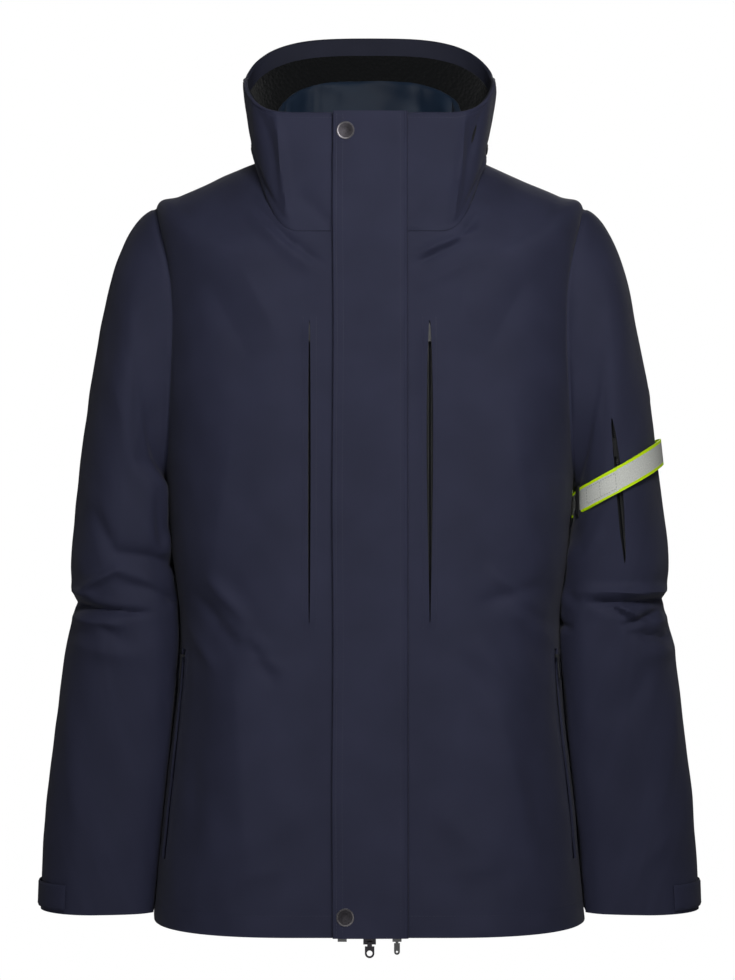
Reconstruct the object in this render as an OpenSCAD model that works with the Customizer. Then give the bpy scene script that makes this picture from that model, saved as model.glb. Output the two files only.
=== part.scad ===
// Foul weather jacket: a waterproof shell with a zip-in padded liner.
// The origin is the middle of the neck, where a hanger or a pair of shoulders
// carries it. +Z is up, -Y is the front and +X is the wearer's left.
// Every surface comes from a short list of stations, as a tailor's block does.

/* [Body] */
// Drop from the neck to the hem
body_drop = 724; // [600:1:880]
// Drop from the neck to the waist
waist_drop = 450; // [400:1:500]
// Drop from the neck to the bottom of the armholes
armpit_drop = 290; // [250:1:348]
// Drop from the neck to the top of the armholes
shoulder_drop = 20; // [12:1:35]
// Half width at the hem
hem_half_w = 214; // [178:1:257]
// Half width at the waist
waist_half_w = 189; // [170:1:227]
// Half width at the bottom of the armholes
chest_half_w = 203; // [180:1:244]
// Half width at the shoulder tips
shoulder_half_w = 213; // [178:1:256]
// Distance from the side seam forward to the front, at the hem
front_depth = 140; // [115:1:168]
// Distance from the side seam forward to the front, at the collar rim
collar_front_depth = 105; // [95:1:120]
// Distance from the side seam back to the middle of the back
back_depth = 132; // [110:1:158]
// Thickness of the laminated shell fabric with its lining
shell_t = 2.2; // [1.6:0.1:2.6]

/* [Collar] */
// Half width at the foot of the collar
neck_half_w = 113; // [100:1:135]
// Half width at the rim of the collar
rim_half_w = 125; // [104:1:140]
// Height of the collar at the front
collar_front_h = 115; // [96:1:138]
// Height of the collar at the back
collar_back_h = 124; // [103:1:149]
// Depth of the navy facing inside the rim
facing_h = 23; // [15:1:35]

/* [Sleeves] */
// Drop from the neck to the elbow
elbow_drop = 417; // [390:1:460]
// Drop from the neck to the end of the sleeves
cuff_drop = 718; // [598:1:861]
// Width across the elbow, seen from the front
elbow_w = 101; // [84:1:121]
// Width across the forearm
forearm_w = 115; // [96:1:138]
// Half depth of the sleeve at its cuff
cuff_half_d = 52; // [44:1:62]
// Gap between the hanging sleeve and the body
arm_gap = 4; // [3:0.5:8]

/* [Front closure] */
// Width of the storm flap from its seam to its free edge
flap_w = 72; // [60:1:86]
// Thickness of the storm flap
flap_t = 2; // [1.5:0.1:2.4]
// Distance from the middle line to the flap's seam
flap_seam_x = 34; // [30:1:40]
// Diameter of a snap cap
snap_d = 17; // [14:0.5:20]
// Length of the exposed part of a zip pull ring
pull_len = 15; // [12:0.5:20]
// Width of the main slider
slider_w = 12; // [10:0.5:14]

/* [Pockets] */
// Drop from the neck to the top of the chest zips
chest_zip_drop = 138; // [120:1:165]
// Length of the chest zips
chest_zip_len = 288; // [240:1:345]
// Distance from the middle line to the chest zips
chest_zip_x = 57.5; // [55:0.5:60]
// Length of the hand pocket zips
hand_zip_len = 205; // [171:1:246]
// Height of the lower end of the hand pocket zips above the hem
hand_zip_rise = 64; // [54:1:77]
// Length of the sleeve pocket zip
sleeve_zip_len = 140; // [117:1:150]
// Width of a pocket slit
slit_w = 7.2; // [6.8:0.1:8]

/* [Arm band] */
// Width of the reflective band
band_w = 25; // [21:1:30]
// Thickness of the reflective band
band_t = 1.5; // [1.2:0.1:2]
// Drop from the neck to the band's middle at the outside of the sleeve
band_outer_drop = 262; // [245:1:275]
// Drop from the neck to the band's middle under the arm
band_inner_drop = 316; // [312:1:322]

/* [Hidden] */

// Gap left between two sewn pieces, and between a fixed and a moving piece
seam_gap = 0.4;
run_gap = 0.3;
// Half width of the flat strip down the front
flat_half = 66;
// Half of the gap that the main zip closes, and the zip's own sizes
panel_edge = slider_w / 2 + 2;
zip_edge = 0.6;
teeth_w = 2.6;
// Thickness of zip tape, of its teeth and of a slider's plates
tape_t = 0.8;
teeth_t = 2.8;
plate_t = 1.6;
// Depth of the middle of the main zip behind the outside of the front
main_zip_y = shell_t + 0.5;
main_tape_w = 12;
// Thickness of the padded liner, and its depth behind the shell
liner_t = 8;
liner_y = 10.6;
// Middle line of the liner's zip, and its depth
liner_zip_x = 26;
liner_zip_y = 6;
// Heights of the front closure, along the front line from the hem
neck_front_drop = 52;
neck_side_rise = 25;
neck_back_rise = 40;
rim_z = collar_front_h - neck_front_drop;
front_rise = rim_z + body_drop;
front_lean = atan((front_depth - collar_front_depth) / front_rise);
front_len = front_rise / cos(front_lean);
// Armhole: middle and half height in stations, and its half angles
armhole_mid = 5.5;
armhole_half = 1.5;
armhole_front = 30;
armhole_back = 30;
ARMHOLE_STEPS = 12;
// Middle of the sleeves, fore and aft
sleeve_y = 6;
elbow_zone = 80;
navy = "#2b2d3d";
fleece = "#0b0c0e";
blue = "#1d3450";
black = "#17181c";
metal = "#4a484c";
silver = "#b0b4ac";

// ---- Curves through stations -------------------------------------------

function mix(a, b, t) = a + (b - a) * t;
function spow(s, p) = sign(s) * pow(abs(s), p);
function mirrored(p) = [-p.x, p.y, p.z];
function spline(a, b, c, d, t) =
  0.5 * (2 * b + (c - a) * t + (2 * a - 5 * b + 4 * c - d) * t * t
    + (3 * b - 3 * c + d - a) * t * t * t);
function at(list, v) =
  let (last = len(list) - 1, i = max(0, min(floor(v), last - 1)))
  spline(list[max(i - 1, 0)], list[i], list[i + 1], list[min(i + 2, last)], v - i);

// Depth of the straight front line at a height
function front_y(z) = -front_depth + (z + body_drop) * tan(front_lean);

// A station is [z at front, z at side, z at back, half width, back depth, squareness,
// rise], where rise 1 tilts the ring as a plane and 2 keeps its front and back level
hem_st = [-body_drop, -body_drop, -body_drop, hem_half_w, back_depth, 2.5, 2];
waist_st = [-waist_drop, -waist_drop, -waist_drop, waist_half_w, back_depth - 10, 2.5, 2];
armpit_st = [-armpit_drop, -armpit_drop, -armpit_drop, chest_half_w, back_depth + 3, 2.5, 2];
tip_st = [-neck_front_drop - 33, -shoulder_drop, -shoulder_drop, shoulder_half_w,
  back_depth - 7, 2.5, 2];
neck_st = [-neck_front_drop, neck_side_rise, neck_back_rise, neck_half_w, 70, 2.6, 2];
yoke_st = mix(armpit_st, tip_st, 0.42) + [0, 0, 0, 1, 6, 0, 0];
round_st = [-neck_front_drop - 73, -shoulder_drop - 68, -shoulder_drop - 68,
  shoulder_half_w - 4, back_depth + 3, 2.5, 2];
brow_st = [-neck_front_drop - 22, -shoulder_drop + 13, -shoulder_drop + 20,
  mix(neck_half_w, shoulder_half_w, 0.76), back_depth - 14, 2.5, 2];
slope_st = [-neck_front_drop - 11, 8, 20, mix(neck_half_w, shoulder_half_w, 0.4),
  back_depth - 24, 2.5, 2];
TORSO = [hem_st, mix(hem_st, waist_st, 0.35), waist_st, mix(waist_st, armpit_st, 0.6),
  armpit_st, yoke_st, round_st, tip_st, brow_st, slope_st, neck_st];
NECK = len(TORSO) - 1;
rim_st = [rim_z, neck_side_rise + 87, neck_back_rise + collar_back_h, rim_half_w, 74, 3.2, 1];
COLLAR = [neck_st + [1, 1, 1, 0, 0, 0, 0] * seam_gap,
  mix(neck_st, rim_st, 0.5) + [0, 0, 0, 2, 1, 0, 0], rim_st];
// The liner's collar is lower and closer to the neck
liner_foot = [-neck_front_drop + 4, 18, 30, 109, 68, 2.6, 1.6];
liner_rim = [rim_z - 28, neck_side_rise + 52, neck_back_rise + 77, 106, 72, 2.6, 1];
LINER_COLLAR = [liner_foot, mix(liner_foot, liner_rim, 0.5) + [0, 0, 0, 1, 0, 0, 0], liner_rim];

// A point on a surface: a below 0 is millimetres along the flat front strip,
// a from 0 to 180 is the angle round from the front to the middle of the back
function skin(list, v, a) =
  let (s = at(list, v), e = 2 / s[5], k = 1 - pow(abs(cos(max(a, 0))), s[6]))
  a < 0 ? [flat_half + a, front_y(s[0]), s[0]]
  : a <= 90
  ? let (z = mix(s[0], s[1], k))
    [flat_half + (s[3] - flat_half) * spow(sin(a), e), front_y(s[0]) * spow(cos(a), e), z]
  : [s[3] * spow(sin(a), e), -s[4] * spow(cos(a), e), mix(s[2], s[1], k)];
function skin_normal(list, v, a) =
  let (last = len(list) - 1, dv = 0.02, da = 0.5,
    along = skin(list, v, a + da) - skin(list, v, a - da),
    up = skin(list, min(v + dv, last), a) - skin(list, max(v - dv, 0), a),
    n = cross(along, up))
  n / norm(n);
function inside(list, v, a, d) = skin(list, v, a) - d * skin_normal(list, v, a);
// A column is [side, a], with side 1 on the wearer's left and -1 on the right
function col_point(list, v, c, d) =
  let (p = inside(list, v, c[1], d)) c[0] > 0 ? p : mirrored(p);
function grid(list, vs, cols, d) = [for (v = vs) [for (c = cols) col_point(list, v, c, d)]];

// Station at which the front of the body reaches a height
function station_at(list, z, lo, hi, n = 24) =
  n == 0 ? (lo + hi) / 2
  : let (m = (lo + hi) / 2) at(list, m)[0] < z
  ? station_at(list, z, m, hi, n - 1)
  : station_at(list, z, lo, m, n - 1);
function v_front(drop) = station_at(TORSO, -drop, 0, NECK);

// ---- Closed sheets -----------------------------------------------------

// Wraps an outer and an inner grid of points into one closed wall. A hole is
// [first row, last row, first column, last column].
module sheet(outer, inner, ring = false, holes = []) {
  rows = len(outer);
  cols = len(outer[0]);
  last_c = ring ? cols - 1 : cols - 2;
  function id(r, c) = r * cols + (c % cols);
  function solid_at(r, c) =
    let (cc = ring ? (c + cols) % cols : c)
    r >= 0 && r < rows - 1 && cc >= 0 && cc <= last_c
    && len([for (h = holes) if (r >= h[0] && r < h[1] && cc >= h[2] && cc < h[3]) 1]) == 0;
  function wall(p, q) = [[q, p, p + rows * cols], [q, p + rows * cols, q + rows * cols]];
  faces = [for (r = [0 : rows - 2], c = [0 : last_c]) if (solid_at(r, c))
    let (a = id(r, c), b = id(r, c + 1), e = id(r + 1, c + 1), f = id(r + 1, c),
      n = rows * cols)
    each concat(
      [[a, f, e], [a, e, b], [a + n, e + n, f + n], [a + n, b + n, e + n]],
      solid_at(r - 1, c) ? [] : wall(b, a),
      solid_at(r, c + 1) ? [] : wall(e, b),
      solid_at(r + 1, c) ? [] : wall(f, e),
      solid_at(r, c - 1) ? [] : wall(a, f))];
  polyhedron([for (r = outer) each r, for (r = inner) each r], faces, convexity = 10);
}

// ---- Body of the shell ---------------------------------------------------

function hole_angle(v) =
  let (k = (v - armhole_mid) / armhole_half) abs(k) >= 1 ? 0 : sqrt(1 - k * k);
armhole_rows = [for (i = [0 : ARMHOLE_STEPS])
  armhole_mid - armhole_half * cos(180 * i / ARMHOLE_STEPS)];
hand_low = body_drop - hand_zip_rise;
hand_high = hand_low - hand_zip_len;
chest_low = chest_zip_drop + chest_zip_len;
hand_angle = 68.5;
hand_half_angle = slit_w / 4.2;
// Heights that a row has to meet, sorted, so that a slit starts and ends on a row
v_marks = [v_front(hand_low), v_front(hand_high), v_front(chest_low), v_front(chest_zip_drop)];
function sorted(list) =
  len(list) < 2 ? list
  : let (m = list[0])
    concat(sorted([for (x = list) if (x < m) x]), [m], sorted([for (x = list) if (x > m) x]));
plain_rows = [0, 0.3, 0.65, 1, 1.35, 1.7, 2, 2.35, 2.7, 3.05, 3.4, 3.7];
top_rows = [7.33, 7.67, 8, 8.33, 8.67, 9, 9.5, NECK];
front_rows = sorted(concat(plain_rows, armhole_rows, top_rows, v_marks));
function row_of(rows, v) = [for (i = [0 : len(rows) - 1]) if (abs(rows[i] - v) < 1e-6) i][0];
strip_cols = [panel_edge, chest_zip_x - slit_w / 2, chest_zip_x + slit_w / 2, flat_half];
side_shares = [0.12, 0.25, 0.38, 0.5, 0.62, (hand_angle - hand_half_angle) / 90,
  (hand_angle + hand_half_angle) / 90, 0.9, 1];
seam_angle = 0.02;
front_cols = len(strip_cols) + len(side_shares);

function front_grid(d) = [for (v = front_rows)
  let (end = 90 - seam_angle - armhole_front * hole_angle(v))
  concat([for (x = strip_cols) inside(TORSO, v, min(x - flat_half, -0.01), d)],
    [for (k = side_shares) inside(TORSO, v, end * k, d)])];

module front_panel() {
  hand_c = len(strip_cols) + 5;
  color(navy) sheet(front_grid(0), front_grid(shell_t), holes = [
    [row_of(front_rows, v_marks[2]), row_of(front_rows, v_marks[3]), 1, 2],
    [row_of(front_rows, v_marks[0]), row_of(front_rows, v_marks[1]), hand_c, hand_c + 1]]);
}

back_rows = concat(plain_rows, armhole_rows, top_rows);
BACK_STEPS = 9;
function back_grid(d) = [for (v = back_rows)
  let (start = 90 + seam_angle + armhole_back * hole_angle(v))
  [for (j = [-BACK_STEPS : BACK_STEPS])
    col_point(TORSO, v, [j < 0 ? 1 : -1, mix(180, start, abs(j) / BACK_STEPS)], d)]];
module back_panel() {
  color(navy) sheet(back_grid(0), back_grid(shell_t));
}

// ---- Collar --------------------------------------------------------------

// Columns all the way round, from one front edge to the other
function round_cols(edge, step) = concat(
  [for (a = [edge - flat_half, (edge - flat_half) / 2, -0.01]) [1, a]],
  [for (a = [step : step : 180]) [1, a]],
  [for (a = [180 - step : -step : step]) [-1, a]],
  [for (a = [-0.01, (edge - flat_half) / 2, edge - flat_half]) [-1, a]]);
collar_step = 12;
// A layer of the collar between two stations and two depths, from one edge to the other
module collar_layer(v0, v1, d0, d1, edge, rows = 4) {
  cols = round_cols(edge, collar_step);
  vs = [for (i = [0 : rows]) mix(v0, v1, i / rows)];
  sheet(grid(COLLAR, vs, cols, d0), grid(COLLAR, vs, cols, d1));
}
facing_v = 2 - 2 * facing_h / collar_front_h;
module collar() {
  color(navy) collar_layer(0, 2, 0, shell_t, panel_edge);
}
module collar_facing() {
  color(navy) collar_layer(facing_v, 2, shell_t + seam_gap, 4.6, facing_x1 + 1, 1);
}
module collar_lining() {
  color(fleece) collar_layer(0.15, facing_v - 0.01, shell_t + seam_gap, 5, facing_x1 + 1, 3);
}

// ---- Sleeves -------------------------------------------------------------

// A ring of a sleeve is [drop inside, drop outside, width or reach, half depth].
// Above the elbow the third number is the reach beyond the shoulder tip.
CROWN = [[18, 15, 22, 77], [28, 56, 40, 80], [40, 115, 54, 80], [55, 200, 68, 78],
  [75, 285, 79, 75]];
elbow_top = elbow_drop - elbow_zone / 2;
elbow_low = elbow_drop + elbow_zone / 2;
FOREARM = [[elbow_top, elbow_w, 71], [elbow_drop, elbow_w, 68],
  [elbow_low, mix(elbow_w, forearm_w, 0.7), 66],
  [mix(elbow_low, cuff_drop, 0.4), forearm_w + 1, mix(66, cuff_half_d, 0.55)],
  [mix(elbow_low, cuff_drop, 0.75), forearm_w, mix(66, cuff_half_d, 0.85)],
  [cuff_drop, forearm_w - 3, cuff_half_d]];
// Half width of the body at a height, for the inner line of the sleeve
function side_w(drop) = at(TORSO, station_at(TORSO, -min(drop, body_drop), 0, 4.6))[3];
function inner_x(drop) = side_w(drop) + arm_gap;
crown_rings = [for (c = CROWN) let (d = armpit_drop + c[0])
  [[inner_x(d), sleeve_y, -d], [shoulder_half_w + c[2], sleeve_y, -shoulder_drop - c[1]], c[3]]];
forearm_rings = [for (f = FOREARM)
  [[inner_x(f[0]), sleeve_y, -f[0]], [inner_x(f[0]) + f[1], sleeve_y, -f[0]], f[2]]];
RINGS = concat(crown_rings, forearm_rings);

// The first ring of a sleeve is the edge of the armhole
function armhole_edge(f) =
  let (v = armhole_mid + armhole_half * cos(f), s = sin(f),
    p = skin(TORSO, v, 90 - (s > 0 ? armhole_front : armhole_back) * s))
  p + [seam_gap + 0.2, 0, 0];
function sleeve_ring(k, f) =
  k <= 0 ? armhole_edge(f)
  : let (r = RINGS[min(k, len(RINGS)) - 1], mid = (r[0] + r[1]) / 2, half = (r[1] - r[0]) / 2)
    mid + half * cos(f) + [0, -r[2] * sin(f), 0];
// A point on the left sleeve: f is 0 outside, 90 in front, 180 inside
function arm(s, f) =
  let (i = max(0, min(floor(s), len(RINGS) - 1)))
  spline(sleeve_ring(i - 1, f), sleeve_ring(i, f), sleeve_ring(i + 1, f),
    sleeve_ring(i + 2, f), s - i);
function arm_normal(s, f) =
  let (last = len(RINGS), ds = 0.05,
    n = cross(arm(s, f + 2) - arm(s, f - 2), arm(min(s + ds, last), f) - arm(max(s - ds, 0), f)))
  n / norm(n);
function arm_off(s, f, d) = arm(s, f) + d * arm_normal(s, f);
// Inside of the wall: at the armhole it moves towards the middle of the hole
hole_mid = (armhole_edge(0) + armhole_edge(180)) / 2;
function arm_in(s, f, d) =
  let (p = arm(s, f), m = [0, hole_mid.y - p.y, hole_mid.z - p.z])
  s < 0.01 ? p + d * m / norm(m) : arm_off(s, f, -d);

function arm_grid(ss, fs, d) = [for (s = ss) [for (f = fs)
  d == 0 ? arm(s, f) : arm_in(s, f, d)]];
plain_fs = [for (i = [0 : 23]) i * 15];
module arm_wall(ss, fs = plain_fs, holes = []) {
  color(navy) sheet(arm_grid(ss, fs, 0), arm_grid(ss, fs, shell_t), ring = true, holes = holes);
}
ELBOW_TOP = len(CROWN) + 1;
ELBOW_LOW = ELBOW_TOP + 2;
CUFF = len(RINGS);
zone_gap = run_gap / elbow_zone;
upper_rows = concat([for (s = [0 : 0.5 : ELBOW_TOP - 0.5]) s], [ELBOW_TOP - 2 * zone_gap]);
// Station of the sleeve at which the line at angle f reaches a height
function arm_at(f, z, lo = 0.2, hi = CUFF, n = 26) =
  n == 0 ? (lo + hi) / 2
  : let (m = (lo + hi) / 2) arm(m, f).z > z
  ? arm_at(f, z, m, hi, n - 1) : arm_at(f, z, lo, m, n - 1);

// The left sleeve has a slit for its pocket
slit_low_z = -elbow_top + 6;
slit_low_s = arm_at(90, slit_low_z);
slit_top_s = arm_at(90, slit_low_z + sleeve_zip_len);
slit_half_f = asin((slit_w / 2 + 1.7) / 46);
left_rows = sorted(concat([for (s = upper_rows)
  if (abs(s - slit_low_s) > 0.12 && abs(s - slit_top_s) > 0.12) s], [slit_low_s, slit_top_s]));
slit_fs = concat([for (i = [0 : 5]) i * 15], [90 - slit_half_f, 90 + slit_half_f],
  [for (i = [7 : 23]) i * 15]);
module sleeve_upper_plain() {
  arm_wall(upper_rows);
}
module sleeve_upper_slit() {
  arm_wall(left_rows, slit_fs,
    [[row_of(left_rows, slit_top_s), row_of(left_rows, slit_low_s), 6, 7]]);
}
module sleeve_elbow() {
  arm_wall([ELBOW_TOP + zone_gap, ELBOW_TOP + 0.5, ELBOW_TOP + 1, ELBOW_TOP + 1.5,
    ELBOW_LOW - zone_gap]);
}
module sleeve_lower() {
  arm_wall(concat([ELBOW_LOW + zone_gap], [for (s = [ELBOW_LOW + 0.5 : 0.5 : CUFF]) s]));
}

// ---- Cuff tabs -----------------------------------------------------------

tab_h = 25;
tab_rise = 4;
tab_t = 1.6;
patch_t = 1;
tab_root = -40;
tab_end = 62;
function cuff_s(rise) = arm_at(0, -cuff_drop + rise);
module cuff_strip(f0, f1, rise0, rise1, d0, d1, steps) {
  ss = [cuff_s(rise1), cuff_s((rise0 + rise1) / 2), cuff_s(rise0)];
  fs = [for (i = [0 : steps]) mix(f0, f1, i / steps)];
  sheet([for (s = ss) [for (f = fs) arm_off(s, f, d1)]],
    [for (s = ss) [for (f = fs) arm_off(s, f, d0)]]);
}
module cuff_tab() {
  color(navy) cuff_strip(tab_root, tab_end, tab_rise, tab_rise + tab_h,
    patch_t + 3 * run_gap, patch_t + 3 * run_gap + tab_t, 8);
}
module cuff_patch() {
  color(black) cuff_strip(20, 50, tab_rise + 4, tab_rise + tab_h - 4,
    run_gap, run_gap + patch_t, 3);
}

// ---- Front closure -------------------------------------------------------

// Everything on the front line is drawn flat: x across, y inwards, z up from the hem
module on_front() {
  translate([0, -front_depth, -body_drop]) rotate([-front_lean, 0, 0]) children();
}
module slab(x0, x1, y0, y1, z0, z1) {
  translate([x0, y0, z0]) cube([x1 - x0, y1 - y0, z1 - z0]);
}
module disc(x, z, y0, y1, d, bore = 0) {
  translate([x, y1, z]) rotate([90, 0, 0]) difference() {
    cylinder(h = y1 - y0, d = d, $fn = 48);
    if (bore > 0) translate([0, 0, -1]) cylinder(h = y1 - y0 + 2, d = bore, $fn = 32);
  }
}

bead_r = 2.8;
bead_y = -bead_r - run_gap;
flap_y = bead_y - bead_r;
snap_x = flap_seam_x - flap_w + 15;
snap_zs = [20, front_len - 19];
module storm_flap() {
  color(navy) on_front() difference() {
    union() {
      slab(flap_seam_x + bead_r - flap_w, flap_seam_x, flap_y, flap_y + flap_t, 0, front_len);
      translate([flap_seam_x, bead_y, 0]) cylinder(h = front_len, r = bead_r, $fn = 40);
    }
    for (z = snap_zs) disc(snap_x, z, flap_y - 1, flap_y + flap_t + 1, 5);
  }
}
// Cap outside the flap, its rivet through the flap and its socket inside
module flap_snaps() {
  inner = flap_y + flap_t;
  color(metal) on_front() for (z = snap_zs) difference() {
    union() {
      disc(snap_x, z, flap_y - 2.2, flap_y, snap_d);
      disc(snap_x, z, flap_y - 1, inner + 0.5, 5);
      disc(snap_x, z, inner, inner + 1.6, 12);
    }
    disc(snap_x, z, inner + 0.5, inner + 2, 6.4);
  }
}
module snap_studs() {
  color(metal) on_front() for (z = snap_zs) {
    disc(snap_x, z, -1.1, -0.05, 12);
    disc(snap_x, z, flap_y + flap_t + 0.8, -0.5, 5.4);
  }
}

facing_x0 = panel_edge + 4.5;
facing_x1 = liner_zip_x - 5.5;
facing_y = shell_t + seam_gap;
facing_t = 2.6;
module front_facings() {
  color(navy) on_front() for (s = [1, -1]) {
    x0 = s > 0 ? facing_x0 : -facing_x1;
    slab(x0, x0 + facing_x1 - facing_x0, facing_y, facing_y + facing_t, 6, front_len - 34);
  }
}
slider_back = main_zip_y + teeth_t / 2 + 0.3 + plate_t;
module inner_flap() {
  y0 = slider_back + run_gap;
  color(navy) on_front() {
    slab(-16, facing_x0 + 2, y0, y0 + 1.5, 8, front_len - 40);
    slab(facing_x0, facing_x0 + 2, facing_y + facing_t + run_gap, y0 + 1, 8, front_len - 40);
  }
}

// Half of a zip chain: tape and teeth, drawn on the +x side of its middle line
module zip_half(len, edge, teeth, t_teeth, tape, y) {
  slab(edge, edge + teeth, y - t_teeth / 2, y + t_teeth / 2, 0, len);
  slab(edge + teeth - 0.2, edge + tape, y - tape_t / 2, y + tape_t / 2, 0, len);
}
chain_len = front_len - 6;
main_half_tape = panel_edge + 4;
module main_zip_half() {
  color(black) on_front() {
    slab(zip_edge, zip_edge + teeth_w, main_zip_y - teeth_t / 2, main_zip_y + teeth_t / 2,
      0, chain_len);
    slab(zip_edge + teeth_w - 0.2, main_half_tape, facing_y - 0.1, facing_y + tape_t - 0.1,
      0, chain_len);
  }
}

// A slider: two plates joined by a thin neck that runs between the teeth
module slider_body(w, len, y, t_teeth, plate, neck = 0.7) {
  half = t_teeth / 2 + run_gap;
  slab(-w / 2, w / 2, y - half - plate, y - half, 0, len);
  slab(-w / 2, w / 2, y + half, y + half + plate, 0, len);
  slab(-neck / 2, neck / 2, y - half - 0.1, y + half + 0.1, len * 0.25, len * 0.75);
}
slider_len = 14;
slider_face = main_zip_y - teeth_t / 2 - run_gap - plate_t;
pull_t = 1.4;
pin_r = 0.6;
// Height of the pin above the face of a slider, on the long and the hand pocket zips
pin_rise = 1.2;
hand_pin_rise = 3.4;
top_slider_z = chain_len - slider_len - 10;
bottom_slider_z = -6;
// A ring pull hangs from a pin through the bail on the slider's face
module bail(w, z, face, rise = pin_rise) {
  for (s = [-1, 1])
    slab(s * w / 2 - 0.6, s * w / 2 + 0.6, face - rise - 0.7, face + 0.1, z - 1.2, z + 1.2);
  translate([-w / 2, face - rise, z]) rotate([0, 90, 0]) cylinder(h = w, r = pin_r, $fn = 24);
}
module ring_pull(w, len, z, face, t, rise = pin_rise) {
  y = face - rise;
  translate([0, y, z]) difference() {
    union() {
      rotate([0, 90, 0]) translate([0, 0, -w / 4]) cylinder(h = w / 2, r = t / 2 + 0.45, $fn = 32);
      slab(-w / 4, w / 4, -t / 2, t / 2, -4, 0);
      translate([0, t / 2, -len + w / 2]) rotate([90, 0, 0]) cylinder(h = t, r = w / 2, $fn = 48);
      slab(-w / 2, w / 2, -t / 2, t / 2, -len + w / 2, -4);
    }
    translate([0, t, -len + w / 2]) rotate([90, 0, 0]) cylinder(h = 2 * t, r = w / 2 - 1.8, $fn = 40);
    rotate([0, 90, 0]) translate([0, 0, -w]) cylinder(h = 2 * w, r = pin_r + 0.15, $fn = 32);
  }
}
pull_w = 9;
module main_slider_top() {
  color(metal) on_front() translate([0, 0, top_slider_z]) slider_body(slider_w, slider_len,
    main_zip_y, teeth_t, plate_t);
}
module main_pull_top() {
  color(metal) on_front() translate([0, 0, top_slider_z]) {
    slab(-3, 3, slider_face - 1.3, slider_face, 3, 8);
    slab(-pull_w / 2, pull_w / 2, slider_face - 1.3, slider_face - 0.3, -24, 6);
  }
}
module main_slider_bottom() {
  color(metal) on_front() translate([0, 0, bottom_slider_z]) {
    slider_body(slider_w, slider_len, main_zip_y, teeth_t, plate_t);
    bail(6.4, 2.4, slider_face);
  }
}
module main_pull_bottom() {
  color(metal) on_front() ring_pull(pull_w, pull_len, bottom_slider_z + 2.4, slider_face, pull_t);
}

// ---- Liner ---------------------------------------------------------------

liner_edge = liner_zip_x + 5.8;
liner_rows = [0.4, 1, 1.6, 2.2, 2.8, 3.4, 3.8, 4.3, 4.8, 5.3, 5.8, 6.3, 6.8, 7.3, 7.8, 8.4, 9, 9.6];
liner_hole_mid = 5.5;
liner_hole_half = 1.8;
function liner_hole(v) =
  let (k = (v - liner_hole_mid) / liner_hole_half) abs(k) >= 1 ? 0 : sqrt(1 - k * k);
LINER_STEPS = 7;
function liner_front_grid(d) = [for (v = liner_rows)
  let (end = 90 - seam_angle - (armhole_front + 6) * liner_hole(v))
  concat([for (x = [liner_edge, mix(liner_edge, flat_half, 0.5)]) inside(TORSO, v, x - flat_half, d)],
    [for (j = [0 : LINER_STEPS]) inside(TORSO, v, max(end * j / LINER_STEPS, 0.01), d)])];
function liner_back_grid(d) = [for (v = liner_rows)
  let (start = 90 + seam_angle + (armhole_back + 6) * liner_hole(v))
  [for (j = [-LINER_STEPS : LINER_STEPS])
    col_point(TORSO, v, [j < 0 ? 1 : -1, mix(180, start, abs(j) / LINER_STEPS)], d)]];
module liner_front() {
  color(blue) sheet(liner_front_grid(liner_y), liner_front_grid(liner_y + liner_t));
}
module liner_back() {
  color(blue) sheet(liner_back_grid(liner_y), liner_back_grid(liner_y + liner_t));
}
module liner_collar() {
  cols = round_cols(liner_edge, 15);
  vs = [0, 0.7, 1.4, 2];
  color(blue) sheet(grid(LINER_COLLAR, vs, cols, liner_y),
    grid(LINER_COLLAR, vs, cols, liner_y + liner_t));
}
liner_teeth_t = 2;
liner_teeth_w = 1.5;
liner_slider_w = 8.6;
liner_slider_len = 10;
liner_plate_t = 1.2;
liner_chain_z = 2;
liner_chain_len = front_len - 108;
// Shell half and liner half of the zip that joins the liner to a facing
module liner_zip() {
  color(black) on_front() translate([liner_zip_x, 0, liner_chain_z]) {
    zip_half(liner_chain_len, zip_edge, liner_teeth_w, liner_teeth_t, 9, liner_zip_y);
    slab(5.6, 8.8, liner_zip_y + 0.2, liner_y - run_gap, 0, liner_chain_len);
    mirror([1, 0, 0])
      zip_half(liner_chain_len, zip_edge, liner_teeth_w, liner_teeth_t, 9, liner_zip_y);
  }
}
liner_face = liner_zip_y - liner_teeth_t / 2 - run_gap - liner_plate_t;
liner_slider_z = -4;
// The liner's sliders face the wearer, so they are drawn inside out about their zip
module facing_wearer() {
  on_front() translate([liner_zip_x, 2 * liner_zip_y, 0]) mirror([0, 1, 0]) children();
}
module liner_slider() {
  color(black) facing_wearer() translate([0, 0, liner_slider_z]) {
    slider_body(liner_slider_w, liner_slider_len, liner_zip_y, liner_teeth_t, liner_plate_t);
    bail(4.4, 2, liner_face);
  }
}
module liner_pull() {
  color(black) facing_wearer() ring_pull(5.6, pull_len, liner_slider_z + 2, liner_face, 1.2);
}

// ---- Chest pockets -------------------------------------------------------

small_teeth_w = 1.4;
small_teeth_t = 2;
small_plate_t = 1.1;
small_slider_w = slit_w - 2 * run_gap - 0.2;
small_slider_len = 9;
small_tape = 7.5;
front_z0 = body_drop - chest_low;
chest_z0 = front_z0 / cos(front_lean);
chest_len = chest_zip_len / cos(front_lean);
small_zip_y = shell_t + 0.4 + tape_t / 2;
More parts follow.
